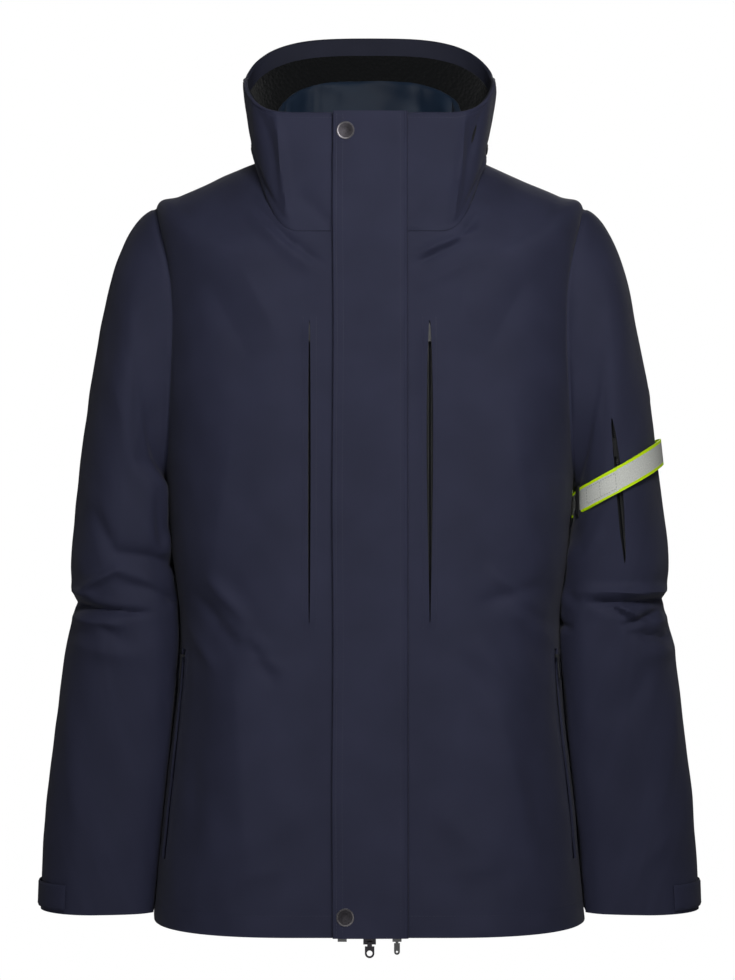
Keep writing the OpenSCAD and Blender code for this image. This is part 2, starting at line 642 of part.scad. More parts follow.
// A short zip behind a slit, drawn from its lower end
module pocket_zip(len) {
  for (m = [0, 1]) mirror([m, 0, 0]) {
    slab(0.5, 0.5 + small_teeth_w, small_zip_y - small_teeth_t / 2,
      small_zip_y + small_teeth_t / 2, 0, len);
    slab(0.4 + small_teeth_w, small_tape, small_zip_y - tape_t / 2,
      small_zip_y + tape_t / 2, -4, len + 4);
  }
}
module pocket_slider() {
  slider_body(small_slider_w, small_slider_len, small_zip_y, small_teeth_t, small_plate_t, 0.5);
}
small_face = small_zip_y - small_teeth_t / 2 - run_gap - small_plate_t;
module chest_zip() {
  color(black) on_front() translate([chest_zip_x, 0, chest_z0]) pocket_zip(chest_len);
}
chest_slider_z = chest_z0 + chest_len - small_slider_len - 2;
module chest_slider() {
  color(black) on_front() translate([chest_zip_x, 0, chest_slider_z]) {
    pocket_slider();
    slab(-1.6, 1.6, small_face - 1.2, small_face + 0.1, -9, 6);
  }
}
bag_gap = small_zip_y + small_teeth_t / 2 + run_gap + small_plate_t + run_gap;
bag_t = 1.6;
module chest_bag() {
  color(black) on_front() translate([chest_zip_x, 0, chest_z0]) {
    slab(-11, 7.5, bag_gap, bag_gap + bag_t, -20, chest_len + 8);
    for (x = [-11, 6.1]) slab(x, x + 1.4, small_zip_y + tape_t / 2 + 0.1, bag_gap + 0.2,
      -20, chest_len + 8);
  }
}

// ---- Hand pockets --------------------------------------------------------

// The zip is straight and the fabric over it is slightly hollow, so it lies a little deeper
hand_sink = 1.1;
hand_n = skin_normal(TORSO, (v_marks[0] + v_marks[1]) / 2, hand_angle);
hand_a = skin(TORSO, v_marks[0], hand_angle) - hand_sink * hand_n;
hand_b = skin(TORSO, v_marks[1], hand_angle) - hand_sink * hand_n;
// A straight frame from a to b whose -y looks along n
module along_line(a, b, n) {
  turn = atan2(n.x, -n.y);
  u = (b - a) / norm(b - a);
  across = u.x * cos(turn) + u.y * sin(turn);
  inward = -u.x * sin(turn) + u.y * cos(turn);
  translate(a) rotate([-asin(inward), atan2(across, u.z), turn]) children();
}
hand_len = norm(hand_b - hand_a);
module hand_zip() {
  color(black) along_line(hand_a, hand_b, hand_n) pocket_zip(hand_len);
}
hand_slider_z = hand_len - small_slider_len - 2;
module hand_slider() {
  color(metal) along_line(hand_a, hand_b, hand_n) translate([0, 0, hand_slider_z]) {
    pocket_slider();
    bail(3.6, 4, small_face, hand_pin_rise);
  }
}
hand_pull_len = 24;
module hand_pull() {
  color(metal) along_line(hand_a, hand_b, hand_n)
    ring_pull(4.6, hand_pull_len, hand_slider_z + 4, small_face, 1.2, hand_pin_rise);
}
module hand_bag() {
  color(black) along_line(hand_a, hand_b, hand_n) {
    slab(-20, 8, bag_gap, bag_gap + bag_t, -14, hand_len + 6);
  }
}

// ---- Sleeve pocket -------------------------------------------------------

// The front line of the sleeve bows sideways, so its straight zip is set to one side
sleeve_sink = 1.4;
sleeve_bow = 0.9;
slit_low = arm(slit_low_s, 90);
slit_top = arm(slit_top_s, 90);
sleeve_len = norm(slit_top - slit_low);
sleeve_n = arm_normal((slit_low_s + slit_top_s) / 2, 90);
slit_side = cross(slit_top - slit_low, sleeve_n) / sleeve_len;
sleeve_a = slit_low - sleeve_sink * sleeve_n + sleeve_bow * slit_side;
sleeve_b = slit_top - sleeve_sink * sleeve_n + sleeve_bow * slit_side;
module sleeve_zip() {
  color(black) along_line(sleeve_a, sleeve_b, sleeve_n) pocket_zip(sleeve_len);
}
// The top of the slit slants with the sleeve, so the slider stops short of it
sleeve_slider_z = sleeve_len - small_slider_len - 19;
module sleeve_slider() {
  color(black) along_line(sleeve_a, sleeve_b, sleeve_n) translate([0, 0, sleeve_slider_z]) {
    pocket_slider();
    slab(-1.6, 1.6, small_face - 1.2, small_face + 0.1, -9, 6);
  }
}
module sleeve_bag() {
  color(black) along_line(sleeve_a, sleeve_b, sleeve_n) {
    slab(-10, 10, bag_gap, bag_gap + bag_t, -2, sleeve_len);
  }
}

// ---- Arm band ------------------------------------------------------------

// The band lies close under the arm and stands off the sleeve elsewhere
function band_z(f) = -mix(band_inner_drop, band_outer_drop, (1 + cos(f)) / 2);
function band_lift(f) = mix(0.8, 4.6, pow((1 + cos(f - 25)) / 2, 0.9));
function band_point(f, h, d) =
  let (s = arm_at(f, band_z(f) + h)) arm_off(s, f, band_lift(f) + d);
module band_strip(fs, d0, d1, w, ring = false) {
  hs = [w / 2, -w / 2];
  sheet([for (h = hs) [for (f = fs) band_point(f, h, d1)]],
    [for (h = hs) [for (f = fs) band_point(f, h, d0)]], ring = ring);
}
module arm_band() {
  color(silver) band_strip([for (i = [0 : 31]) i * 11.25], 0, band_t, band_w, true);
}
tail_root = 138;
tail_end = 92;
module arm_band_tail() {
  color(silver) band_strip([for (i = [0 : 8]) mix(tail_end, tail_root, i / 8)],
    band_t + run_gap, band_t + run_gap + 1.2, band_w - 1);
}
// A flat loop that the band passes through, at the root of its tail
ring_f = tail_root + 8;
ring_t = 1.8;
ring_p = band_point(ring_f, 0, band_t + run_gap);
ring_n = arm_normal(arm_at(ring_f, band_z(ring_f)), ring_f);
module arm_band_ring() {
  color(black) along_line(ring_p, ring_p + [0, 0, 10], ring_n) difference() {
    slab(-3.5, 3.5, -ring_t, 0, -band_w / 2 - 3, band_w / 2 + 3);
    slab(-1.6, 1.6, -ring_t - 1, 1, -band_w / 2, band_w / 2);
  }
}
badge_f = 22;
badge_s = arm_at(badge_f, -205);
module badge() {
  p = arm_off(badge_s, badge_f, 0.3);
  u = arm(badge_s - 0.05, badge_f) - arm(badge_s + 0.05, badge_f);
  color(black) along_line(p, p + u, arm_normal(badge_s, badge_f))
    disc(0, 0, -2, 0, 20);
}

// ---- Hood zip and hanger loop ----------------------------------------------

hood_cols = concat([for (a = [72 : collar_step : 180]) [1, a]],
  [for (a = [180 - collar_step : -collar_step : 72]) [-1, a]]);
module hood_zip() {
  color(black) sheet(grid(COLLAR, [0.3, 0.5], hood_cols, -1.8),
    grid(COLLAR, [0.3, 0.5], hood_cols, -run_gap));
}
loop_r = 14;
loop_t = 3;
loop_place = inside(LINER_COLLAR, 1.1, 180, liner_y + liner_t + 1.4);
// A strap sewn inside the back of the neck at both of its ends
module hanger_loop() {
  color(black) translate(loop_place) {
    translate([0, -loop_t, 0]) rotate([90, 0, 0]) translate([0, 0, -loop_t / 2])
      rotate_extrude(angle = 360, $fn = 64) translate([loop_r, 0]) square([5, 1.6]);
    for (s = [-1, 1]) slab(s * (loop_r + 2.5) - 2.5, s * (loop_r + 2.5) + 2.5, -loop_t, 0, -3, 3);
  }
}

// ---- Nodes ---------------------------------------------------------------

module on_right() {
  mirror([1, 0, 0]) children();
}
on_right() front_panel();  // front_right_panel
front_panel();  // front_left_panel
back_panel();
collar();
collar_facing();
collar_lining();
on_right() sleeve_upper_plain();  // sleeve_right_upper
sleeve_upper_slit();  // sleeve_left_upper
on_right() sleeve_elbow();  // sleeve_right_elbow
sleeve_elbow();  // sleeve_left_elbow
on_right() sleeve_lower();  // sleeve_right_lower
sleeve_lower();  // sleeve_left_lower
on_right() cuff_tab();  // cuff_tab_right
cuff_tab();  // cuff_tab_left
on_right() cuff_patch();  // cuff_patch_right
cuff_patch();  // cuff_patch_left
storm_flap();
flap_snaps();
snap_studs();
front_facings();
inner_flap();
on_right() main_zip_half();  // main_zip_right
main_zip_half();  // main_zip_left
main_slider_top();
main_pull_top();
main_slider_bottom();
main_pull_bottom();
on_right() liner_front();  // liner_front_right
liner_front();  // liner_front_left
liner_back();
liner_collar();
on_right() liner_zip();  // liner_zip_right
liner_zip();  // liner_zip_left
on_right() liner_slider();  // liner_slider_right
liner_slider();  // liner_slider_left
liner_pull();  // liner_pull_left
on_right() chest_zip();  // chest_zip_right
chest_zip();  // chest_zip_left
on_right() chest_slider();  // chest_slider_right
chest_slider();  // chest_slider_left
on_right() chest_bag();  // chest_bag_right
chest_bag();  // chest_bag_left
on_right() hand_zip();  // hand_zip_right
hand_zip();  // hand_zip_left
on_right() hand_slider();  // hand_slider_right
hand_slider();  // hand_slider_left
on_right() hand_pull();  // hand_pull_right
hand_pull();  // hand_pull_left
on_right() hand_bag();  // hand_bag_right
hand_bag();  // hand_bag_left
sleeve_zip();
sleeve_slider();
sleeve_bag();
arm_band();
arm_band_ring();
arm_band_tail();
badge();
hood_zip();
hanger_loop();
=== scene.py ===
# %% [markdown]
# # A foul weather jacket, sewn in Blender
# A sailing jacket is a stiff waterproof shell over a padded liner. The measured
# model comes from CAD, where each piece is a plain closed solid in its true place.
# This lesson takes the same few pattern lines, lays finer cloth on them, folds and
# stitches it, and gives each cloth, tape and metal its finish.
# Lengths are worked out in millimetres, as on a paper pattern, and turned to metres
# only when a mesh is made.

import math

import bmesh
import bpy
import numpy as np
from mathutils import Matrix, Vector


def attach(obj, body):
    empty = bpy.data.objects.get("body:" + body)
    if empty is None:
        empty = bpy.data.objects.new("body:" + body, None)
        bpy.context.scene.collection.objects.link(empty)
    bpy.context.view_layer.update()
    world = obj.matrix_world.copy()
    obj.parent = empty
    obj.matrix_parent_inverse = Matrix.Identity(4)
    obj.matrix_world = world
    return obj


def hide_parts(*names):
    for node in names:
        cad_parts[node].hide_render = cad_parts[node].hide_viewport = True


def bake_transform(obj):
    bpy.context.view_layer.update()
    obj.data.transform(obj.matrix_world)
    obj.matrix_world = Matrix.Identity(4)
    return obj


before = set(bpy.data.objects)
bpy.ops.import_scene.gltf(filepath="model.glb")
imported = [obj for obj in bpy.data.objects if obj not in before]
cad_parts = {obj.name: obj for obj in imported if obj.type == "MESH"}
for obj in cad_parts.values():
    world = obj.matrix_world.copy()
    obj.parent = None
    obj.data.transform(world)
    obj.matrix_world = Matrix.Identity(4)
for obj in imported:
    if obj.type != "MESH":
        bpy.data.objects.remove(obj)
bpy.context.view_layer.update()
MM = 0.001

# %% [markdown]
# ## The camera and the studio
# The jacket hangs level with the lens, seen straight from the front. A long lens a
# good way off keeps the sleeves as wide as they are. The floor is one plain pale
# sheet, as far below the shoulders as a wearer's feet, and the world is the same
# soft white, as in a product studio. Both could be a curved backdrop, but a flat
# floor never hides the jacket from behind.

# %% Camera
camera_data = bpy.data.cameras.new("studio_camera")
camera_data.lens = 95.5
camera_data.clip_end = 60
camera = bpy.data.objects.new("studio_camera", camera_data)
camera.location = (-0.002, -2.6, -0.300)
camera.rotation_euler = (math.radians(90), 0, 0)
bpy.context.collection.objects.link(camera)
bpy.context.scene.camera = camera


# %% Colours and shader nodes
def linear(code):
    """An sRGB hex colour as the linear numbers that shaders use."""
    parts = [int(code[i : i + 2], 16) / 255 for i in (1, 3, 5)]
    return [c / 12.92 if c <= 0.04045 else ((c + 0.055) / 1.055) ** 2.4 for c in parts] + [1]


def node(tree, kind, inputs=(), **settings):
    """Adds a node. An input is a value, or (node, output) to link it from."""
    made = tree.nodes.new(kind)
    for name, value in settings.items():
        setattr(made, name, value)
    for name, value in dict(inputs).items():
        if isinstance(value, tuple) and isinstance(value[0], bpy.types.Node):
            tree.links.new(value[0].outputs[value[1]], made.inputs[name])
        else:
            made.inputs[name].default_value = value
    return made


def finish(name, **shader):
    """A material with one principled shader, and its constant values set on it."""
    material = bpy.data.materials.new(name)
    material.use_nodes = True
    principled = material.node_tree.nodes["Principled BSDF"]
    for socket, value in shader.items():
        principled.inputs[socket.replace("_", " ")].default_value = value
    return material, material.node_tree, principled


def plug(tree, principled, **sources):
    """Links (node, output) pairs to the shader's sockets."""
    for socket, (source, output) in sources.items():
        tree.links.new(source.outputs[output], principled.inputs[socket.replace("_", " ")])


# %% [markdown]
# Soft light comes from square lamps: one near the chest, above and in front of it,
# which is what makes a dark cloth read as navy and not as black. It is near, so the
# light falls away to the sleeves and the sides, and draws the folds. The others only
# lift the shadows.

# %% Floor, world and lamps
bpy.ops.object.select_all(action="DESELECT")
bpy.ops.mesh.primitive_plane_add(size=6.8, location=(0, 0, -1.45))
floor = bpy.context.object
floor.name = "studio_floor"
# Painted studio floor: matt, with a faint mottling at hand width. It has lamps of its
# own, which a weak glow stands for, and which don't reach the jacket
paint, tree, shader = finish("matt_floor_paint", Roughness=0.9, Emission_Strength=0.85)
where = node(tree, "ShaderNodeTexCoord")
mottle = node(tree, "ShaderNodeTexNoise", {"Vector": (where, "Object"), "Scale": 9.0})
tone = node(tree, "ShaderNodeValToRGB", {"Fac": (mottle, "Fac")})
tone.color_ramp.elements[0].color = linear("#efefef")
tone.color_ramp.elements[1].color = linear("#f6f6f6")
plug(tree, shader, Base_Color=(tone, "Color"), Emission_Color=(tone, "Color"))
floor.visible_diffuse = False
floor.visible_glossy = False
floor.data.materials.append(paint)

world = bpy.data.worlds.new("studio_white")
world.use_nodes = True
# The backdrop is seen as full white, but lights the cloth with a small part of that,
# as a white wall far behind the jacket does
sky = world.node_tree.nodes["Background"]
sky.inputs["Color"].default_value = (1, 1, 1, 1)
ray = node(world.node_tree, "ShaderNodeLightPath")
strength = node(
    world.node_tree,
    "ShaderNodeMapRange",
    {"Value": (ray, "Is Camera Ray"), "To Min": 0.1, "To Max": 1.0},
)
world.node_tree.links.new(strength.outputs["Result"], sky.inputs["Strength"])
bpy.context.scene.world = world
# Plain colours, so that a dye's sRGB value is what the eye sees under full light
bpy.context.scene.view_settings.view_transform = "Standard"


def lamp(name, place, aim, size, watts):
    """A square softbox at a place, turned to aim at a point."""
    data = bpy.data.lights.new(name, "AREA")
    data.size = size
    data.energy = watts
    made = bpy.data.objects.new(name, data)
    made.location = place
    made.rotation_euler = (Vector(aim) - Vector(place)).to_track_quat("-Z", "Y").to_euler()
    made.visible_camera = False
    bpy.context.collection.objects.link(made)


CHEST = (0, 0, -0.3)
lamp("key_softbox", (0.22, -1.2, 0.4), CHEST, 0.42, 10.8)
lamp("low_fill", (-0.1, -1.3, -0.7), (0, 0, -0.55), 0.5, 3.2)
lamp("left_strip", (-2.4, -0.9, 0.6), CHEST, 0.7, 0.9)
lamp("right_strip", (2.4, -0.9, 0.6), CHEST, 0.7, 0.9)
lamp("back_fill", (0.4, 2.6, 1.0), CHEST, 1.5, 14)

# %% [markdown]
# ## The pattern
# A tailor's block gives a body by a few level lines: hem, waist, chest, shoulder and
# neck. Each line here is a station: three heights (front, side and back), a half
# width, a back depth, how square it is, and how its edge rises. A smooth curve runs
# through the stations, so any point of the cloth comes from two numbers: how far up
# it is, and how far round. These are the CAD model's own numbers in millimetres.

# %% Sizes of the jacket
BODY_DROP, ARMPIT_DROP, SHOULDER_DROP = 724, 290, 20
SHELL_T = 2.2
FLAT_HALF = 66
PANEL_EDGE = 8
FRONT_DEPTH, COLLAR_FRONT_DEPTH = 140, 105
RIM_Z = 63
FRONT_RISE = RIM_Z + BODY_DROP
FRONT_LEAN = math.atan((FRONT_DEPTH - COLLAR_FRONT_DEPTH) / FRONT_RISE)
FRONT_LEN = FRONT_RISE / math.cos(FRONT_LEAN)


def mix(a, b, t):
    return a + (b - a) * t


def station(*numbers):
    return np.array(numbers, float)


# z front, z side, z back, half width, back depth, squareness, rise
hem = station(-724, -724, -724, 214, 132, 2.5, 2)
waist = station(-450, -450, -450, 189, 122, 2.5, 2)
armpit = station(-290, -290, -290, 203, 135, 2.5, 2)
tip = station(-85, -20, -20, 213, 125, 2.5, 2)
neck = station(-52, 25, 40, 113, 70, 2.6, 2)
yoke = mix(armpit, tip, 0.42) + station(0, 0, 0, 1, 6, 0, 0)
round_off = station(-125, -88, -88, 209, 135, 2.5, 2)
brow = station(-74, -7, 0, 189, 118, 2.5, 2)
slope = station(-63, 8, 20, 153, 108, 2.5, 2)
TORSO = [hem, mix(hem, waist, 0.35), waist, mix(waist, armpit, 0.6), armpit]
TORSO = np.array(TORSO + [yoke, round_off, tip, brow, slope, neck])
rim = station(RIM_Z, 112, 164, 125, 74, 3.2, 1)
COLLAR = [neck + station(0.4, 0.4, 0.4, 0, 0, 0, 0)]
COLLAR = np.array(COLLAR + [mix(neck, rim, 0.5) + station(0, 0, 0, 2, 1, 0, 0), rim])
liner_foot = station(-48, 18, 30, 109, 68, 2.6, 1.6)
liner_rim = station(35, 77, 117, 106, 72, 2.6, 1)
LINER_COLLAR = [liner_foot, mix(liner_foot, liner_rim, 0.5) + station(0, 0, 0, 1, 0, 0, 0)]
LINER_COLLAR = np.array(LINER_COLLAR + [liner_rim])


# %% Curves through the stations
def spline(a, b, c, d, t):
    return 0.5 * (2 * b + (c - a) * t + (2 * a - 5 * b + 4 * c - d) * t**2 + (3 * b - 3 * c + d - a) * t**3)


def at(stations, v):
    """The station at v, which may be an array, on a smooth curve through them all."""
    last = len(stations) - 1
    i = np.clip(np.floor(v).astype(int), 0, last - 1)
    rows = [stations[np.clip(i + k, 0, last)] for k in (-1, 0, 1, 2)]
    return spline(*rows, (v - i)[..., None])


def spow(base, power):
    return np.sign(base) * np.abs(base) ** power


def front_y(z):
    return -FRONT_DEPTH + (z + BODY_DROP) * math.tan(FRONT_LEAN)


def skin(stations, v, a):
    """Points at station v and angle a: below 0 along the flat front, 180 mid back."""
    v, a = np.broadcast_arrays(np.asarray(v, float), np.asarray(a, float))
    z0, z1, z2, half, deep, square, rise = np.moveaxis(at(stations, v), -1, 0)
    turn = np.radians(np.maximum(a, 0))
    side, ahead = spow(np.sin(turn), 2 / square), spow(np.cos(turn), 2 / square)
    k = 1 - np.abs(np.cos(turn)) ** rise
    x = np.where(a < 0, FLAT_HALF + a, FLAT_HALF + (half - FLAT_HALF) * side)
    x = np.where(a > 90, half * side, x)
    y = np.where(a > 90, -deep * ahead, front_y(z0) * np.where(a < 0, 1, ahead))
    z = np.where(a > 90, mix(z2, z1, k), np.where(a < 0, z0, mix(z0, z1, k)))
    return np.stack([x, y, z], -1)


def unit(vectors):
    return vectors / np.maximum(np.linalg.norm(vectors, axis=-1, keepdims=True), 1e-9)


def skin_out(stations, v, a):
    """The direction straight out of the cloth."""
    v, a = np.broadcast_arrays(np.asarray(v, float), np.asarray(a, float))
    last = len(stations) - 1
    along = skin(stations, v, a + 0.5) - skin(stations, v, a - 0.5)
    up = skin(stations, np.minimum(v + 0.02, last), a) - skin(stations, np.maximum(v - 0.02, 0), a)
    return unit(np.cross(along, up))


def station_at(z, low=0.0, high=10.0):
    """The station at which the front of the body reaches a height."""
    for _ in range(26):
        middle = (low + high) / 2
        if at(TORSO, np.array(middle))[0] < z:
            low = middle
        else:
            high = middle
    return (low + high) / 2


def hole(v, half=1.5):
    """How far the armhole has opened at station v, from 0 to 1."""
    return np.sqrt(np.clip(1 - ((v - 5.5) / half) ** 2, 0, 1))


# %% [markdown]
# ## Cloth as a closed wall
# Laminated cloth is thin but not a plane: it has an outside, a lining side and a cut
# edge. Solidify could add that, but the wall follows the CAD piece's own thickness
# if both faces are built from the same rows and columns. A slit is a run of cells
# that are left out. The UV map is measured in metres along the cloth, so that a weave
# keeps its scale on every panel.


# %% A wall of cloth between two grids of points
def wall(name, outer, inner, ring=False, slits=(), flip=False):
    """A closed sheet, its UV in metres. A slit is (row, row, column, column)."""
    rows, cols = outer.shape[:2]
    size = rows * cols
    solid = np.zeros((rows + 1, cols + 2), bool)
    solid[1:rows, 1 : cols + (1 if ring else 0)] = True
    for r0, r1, c0, c1 in slits:
        solid[r0 + 1 : r1 + 1, c0 + 1 : c1 + 1] = False
    if ring:
        solid[:, 0], solid[:, cols + 1] = solid[:, cols], solid[:, 1]
    faces = []
    for r, c in zip(*np.nonzero(solid[1:rows, 1 : cols + 1])):
        r, c, k = int(r), int(c), (int(c) + 1) % cols
        a, b, e, f = r * cols + c, r * cols + k, (r + 1) * cols + k, (r + 1) * cols + c
        faces += [(a, b, e, f), (f + size, e + size, b + size, a + size)]
        around = ((r, c + 1, b, a), (r + 1, c + 2, e, b), (r + 2, c + 1, f, e), (r + 1, c, a, f))
        for nr, nc, p, q in around:
            if not solid[nr, nc]:
                faces.append((p, q, q + size, p + size))
    if flip:
        faces = [face[::-1] for face in faces]
    points = np.concatenate([outer.reshape(-1, 3), inner.reshape(-1, 3)]) * MM
    if flip:
        points = points * (-1, 1, 1)
    mesh = bpy.data.meshes.new(name)
    mesh.from_pydata(points.tolist(), [], faces)
    across = np.linalg.norm(np.diff(outer, axis=1), axis=-1)
    across = np.concatenate([np.zeros((rows, 1)), np.cumsum(across, 1)], 1)
    along = np.linalg.norm(np.diff(outer, axis=0), axis=-1)
    along = np.concatenate([np.zeros((1, cols)), np.cumsum(along, 0)])
    place = np.stack([across, along], -1).reshape(-1, 2) * MM
    corner = np.zeros(len(mesh.loops), int)
    mesh.loops.foreach_get("vertex_index", corner)
    layer = mesh.uv_layers.new(name="cloth")
    layer.data.foreach_set("uv", place[corner % size].ravel())
    return place_piece(name, mesh)


def place_piece(name, mesh):
    """Links a mesh as a piece, drops loose points and shades it smooth but at edges."""
    loose = bmesh.new()
    loose.from_mesh(mesh)
    bmesh.ops.delete(loose, geom=[p for p in loose.verts if not p.link_faces], context="VERTS")
    loose.to_mesh(mesh)
    loose.free()
    made = bpy.data.objects.new(name, mesh)
    bpy.context.collection.objects.link(made)
    bpy.ops.object.select_all(action="DESELECT")
    made.select_set(True)
    bpy.context.view_layer.objects.active = made
    bpy.ops.object.shade_smooth_by_angle(angle=math.radians(50))
    return made


def settle(piece, body, slot, material, *nodes):
    """Gives a piece its finish, the body it rides on and the CAD nodes it stands for."""
    piece.data.materials.clear()
    piece.data.materials.append(material)
    if body:
        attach(piece, body)
    if nodes:
        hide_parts(*nodes)
    print(f"{piece.name}: {len(piece.data.polygons)} faces")
    return piece


# %% [markdown]
# ## How the cloth falls
# A coated cloth doesn't drape in many small waves. It breaks into a few short, sharp
# folds where it is pressed, at the waist and the elbows, and it stays slightly uneven
# elsewhere. A simulation of the whole jacket would be slow and hard to steer, so the
# folds are laid one by one: each is a line with a width and a height, and the cloth
# swells along it with a shallow hollow at both sides.


# %% Folds and unevenness
def fold_height(p, q, folds):
    """Height of the cloth at flat coordinates (p, q), from folds along short lines."""
    total = np.zeros(np.broadcast(p, q).shape)
    for (p0, q0), (p1, q1), width, height in folds:
        dp, dq = p1 - p0, q1 - q0
        t = np.clip(((p - p0) * dp + (q - q0) * dq) / (dp * dp + dq * dq), 0, 1)
        away = np.hypot(p - p0 - t * dp, q - q0 - t * dq) / width
        taper = 0.35 + 0.65 * np.sin(np.pi * np.clip(t, 0.02, 0.98)) ** 0.6
        total += height * taper * (np.exp(-(away**1.4)) - 0.4 * np.exp(-((away / 2.1) ** 2)))
    return total


def unevenness(points, wave, seed):
    """A smooth random surface of height about 1, whose waves are a hand wide."""
    draw = np.random.RandomState(seed)
    total = np.zeros(points.shape[:-1])
    for _ in range(9):
        way = unit(draw.normal(size=3) * (1, 1, 0.55))
        total += np.sin(points @ way * (2 * math.pi / (wave * draw.uniform(0.6, 1.5))) + draw.uniform(0, 6.3))
    return total / 3


def soft_step(t):
    t = np.clip(t, 0, 1)
    return t * t * (3 - 2 * t)


def raise_cloth(points, out, height, thickness=SHELL_T):
    """Moves a grid by a height and gives its outer and its inner face."""
    outer = points + out * height[..., None]
    return outer, outer - out * thickness

# %% [markdown]
# ## The finishes of the jacket
# The shell is a plain-woven nylon with a matt waterproof coat inside. It is navy and
# takes no mirror shine. The crowns of its threads are painted lighter and the hollows
# between them darker, as painted light and shade. Real threads are about 0.3 mm apart,
# too fine to see at this size, so the weave is drawn at 0.5 mm. A wave texture's bands are 0.314 / scale
# apart.

# %% Weave, as two crossing sets of bands
BAND = 0.31416


def weave(tree, spacing_mm, strength, grain=0.25):
    """A bump of crossing threads on the cloth's own UV map, with a little noise."""
    uv = node(tree, "ShaderNodeUVMap", uv_map="cloth")
    scale = BAND / (spacing_mm * MM)
    warp = node(tree, "ShaderNodeTexWave", {"Vector": (uv, "UV"), "Scale": scale}, bands_direction="X")
    weft = node(tree, "ShaderNodeTexWave", {"Vector": (uv, "UV"), "Scale": scale}, bands_direction="Y")
    threads = node(tree, "ShaderNodeMath", operation="MULTIPLY")
    tree.links.new(warp.outputs["Fac"], threads.inputs[0])
    tree.links.new(weft.outputs["Fac"], threads.inputs[1])
    slubs = node(
        tree,
        "ShaderNodeTexNoise",
        {"Vector": (uv, "UV"), "Scale": 0.5 / (spacing_mm * MM), "Detail": 3.0},
    )
    height = node(tree, "ShaderNodeMath", {2: 0.0}, operation="MULTIPLY_ADD")
    tree.links.new(slubs.outputs["Fac"], height.inputs[0])
    height.inputs[1].default_value = grain
    tree.links.new(threads.outputs["Value"], height.inputs[2])
    bump = node(
        tree,
        "ShaderNodeBump",
        {"Strength": strength, "Distance": 0.0003, "Height": (height, "Value")},
    )
    return uv, height, bump


def cloth_finish(name, dark, light, spacing_mm=0.5, strength=0.35, blotch_mm=60, **shader):
    """A woven cloth whose colour drifts a little at hand width and with its slubs, with painted light on its
    thread crowns and painted shade between them.
    """
    material, tree, principled = finish(name, **shader)
    uv, height, bump = weave(tree, spacing_mm, strength)
    drift = node(
        tree,
        "ShaderNodeTexNoise",
        {"Vector": (uv, "UV"), "Scale": 1 / (blotch_mm * MM), "Detail": 2.0},
    )
    # The colour follows the weave's height as well as the random drift: painted light on the thread crowns,
    # painted shade between them
    drift_and_crown_light = node(tree, "ShaderNodeMath", {1: 0.35}, operation="MULTIPLY_ADD")
    tree.links.new(height.outputs["Value"], drift_and_crown_light.inputs[0])
    tree.links.new(drift.outputs["Fac"], drift_and_crown_light.inputs[2])
    ramp = node(tree, "ShaderNodeValToRGB", {"Fac": (drift_and_crown_light, "Value")})
    ramp.color_ramp.elements[0].position, ramp.color_ramp.elements[1].position = 0.35, 0.95
    ramp.color_ramp.elements[0].color, ramp.color_ramp.elements[1].color = linear(dark), linear(light)
    plug(tree, principled, Base_Color=(ramp, "Color"), Normal=(bump, "Normal"))
    return material


# Shell: coated nylon plain weave, dyed navy; dry and matt, so a low specular level
navy_nylon = cloth_finish(
    "coated_nylon_navy",
    "#26283c",
    "#2e3046",
    Roughness=0.7,
    Specular_IOR_Level=0.22,
    Sheen_Weight=0.06,
    Sheen_Roughness=0.4,
)
# Facings and tapes cut from the same cloth, given a darker navy as painted shade: the shade inside the
# collar's turning and behind the zip
navy_facing_painted_shade = cloth_finish("nylon_facing_navy_painted_shade", "#20222f", "#282a39", Roughness=0.75, Specular_IOR_Level=0.2)
# Liner: thin calendered taffeta over padding, with a silky shine
blue_taffeta = cloth_finish(
    "calendered_taffeta_blue",
    "#0f1c2d",
    "#17293d",
    spacing_mm=0.7,
    strength=0.25,
    Roughness=0.55,
    Specular_IOR_Level=0.2,
    Sheen_Weight=0.04,
)
# Pocket bags: warp-knit mesh, black and dull
knit_mesh = cloth_finish(
    "warp_knit_mesh_black",
    "#0c0d10",
    "#1d1f24",
    spacing_mm=2.2,
    strength=0.9,
    Roughness=0.85,
    Specular_IOR_Level=0.15,
)
# Zip tape: dense woven polyester, black
zip_tape = cloth_finish(
    "woven_zip_tape_black",
    "#0d0e11",
    "#191b20",
    spacing_mm=1.1,
    strength=0.6,
    Roughness=0.7,
    Specular_IOR_Level=0.3,
)
# Webbing: narrow woven strap with thick ribs
webbing = cloth_finish(
    "ribbed_webbing_black",
    "#0f1013",
    "#202228",
    spacing_mm=1.8,
    strength=0.9,
    Roughness=0.65,
    Specular_IOR_Level=0.3,
)
# Hook tape: stiff bristles on a woven ground, so a coarse and very rough bump
hook_tape = cloth_finish(
    "hook_tape_black",
    "#0b0c0e",
    "#1b1c20",
    spacing_mm=1.6,
    strength=1.0,
    Roughness=0.8,
    Specular_IOR_Level=0.25,
)

# %% [markdown]
# Brushed fleece has no thread to see: its pile is a deep, soft, uneven fur that eats
# light. Fine noise in the bump and in the colour does that, with sheen for the pile
# that stands up at the edges.

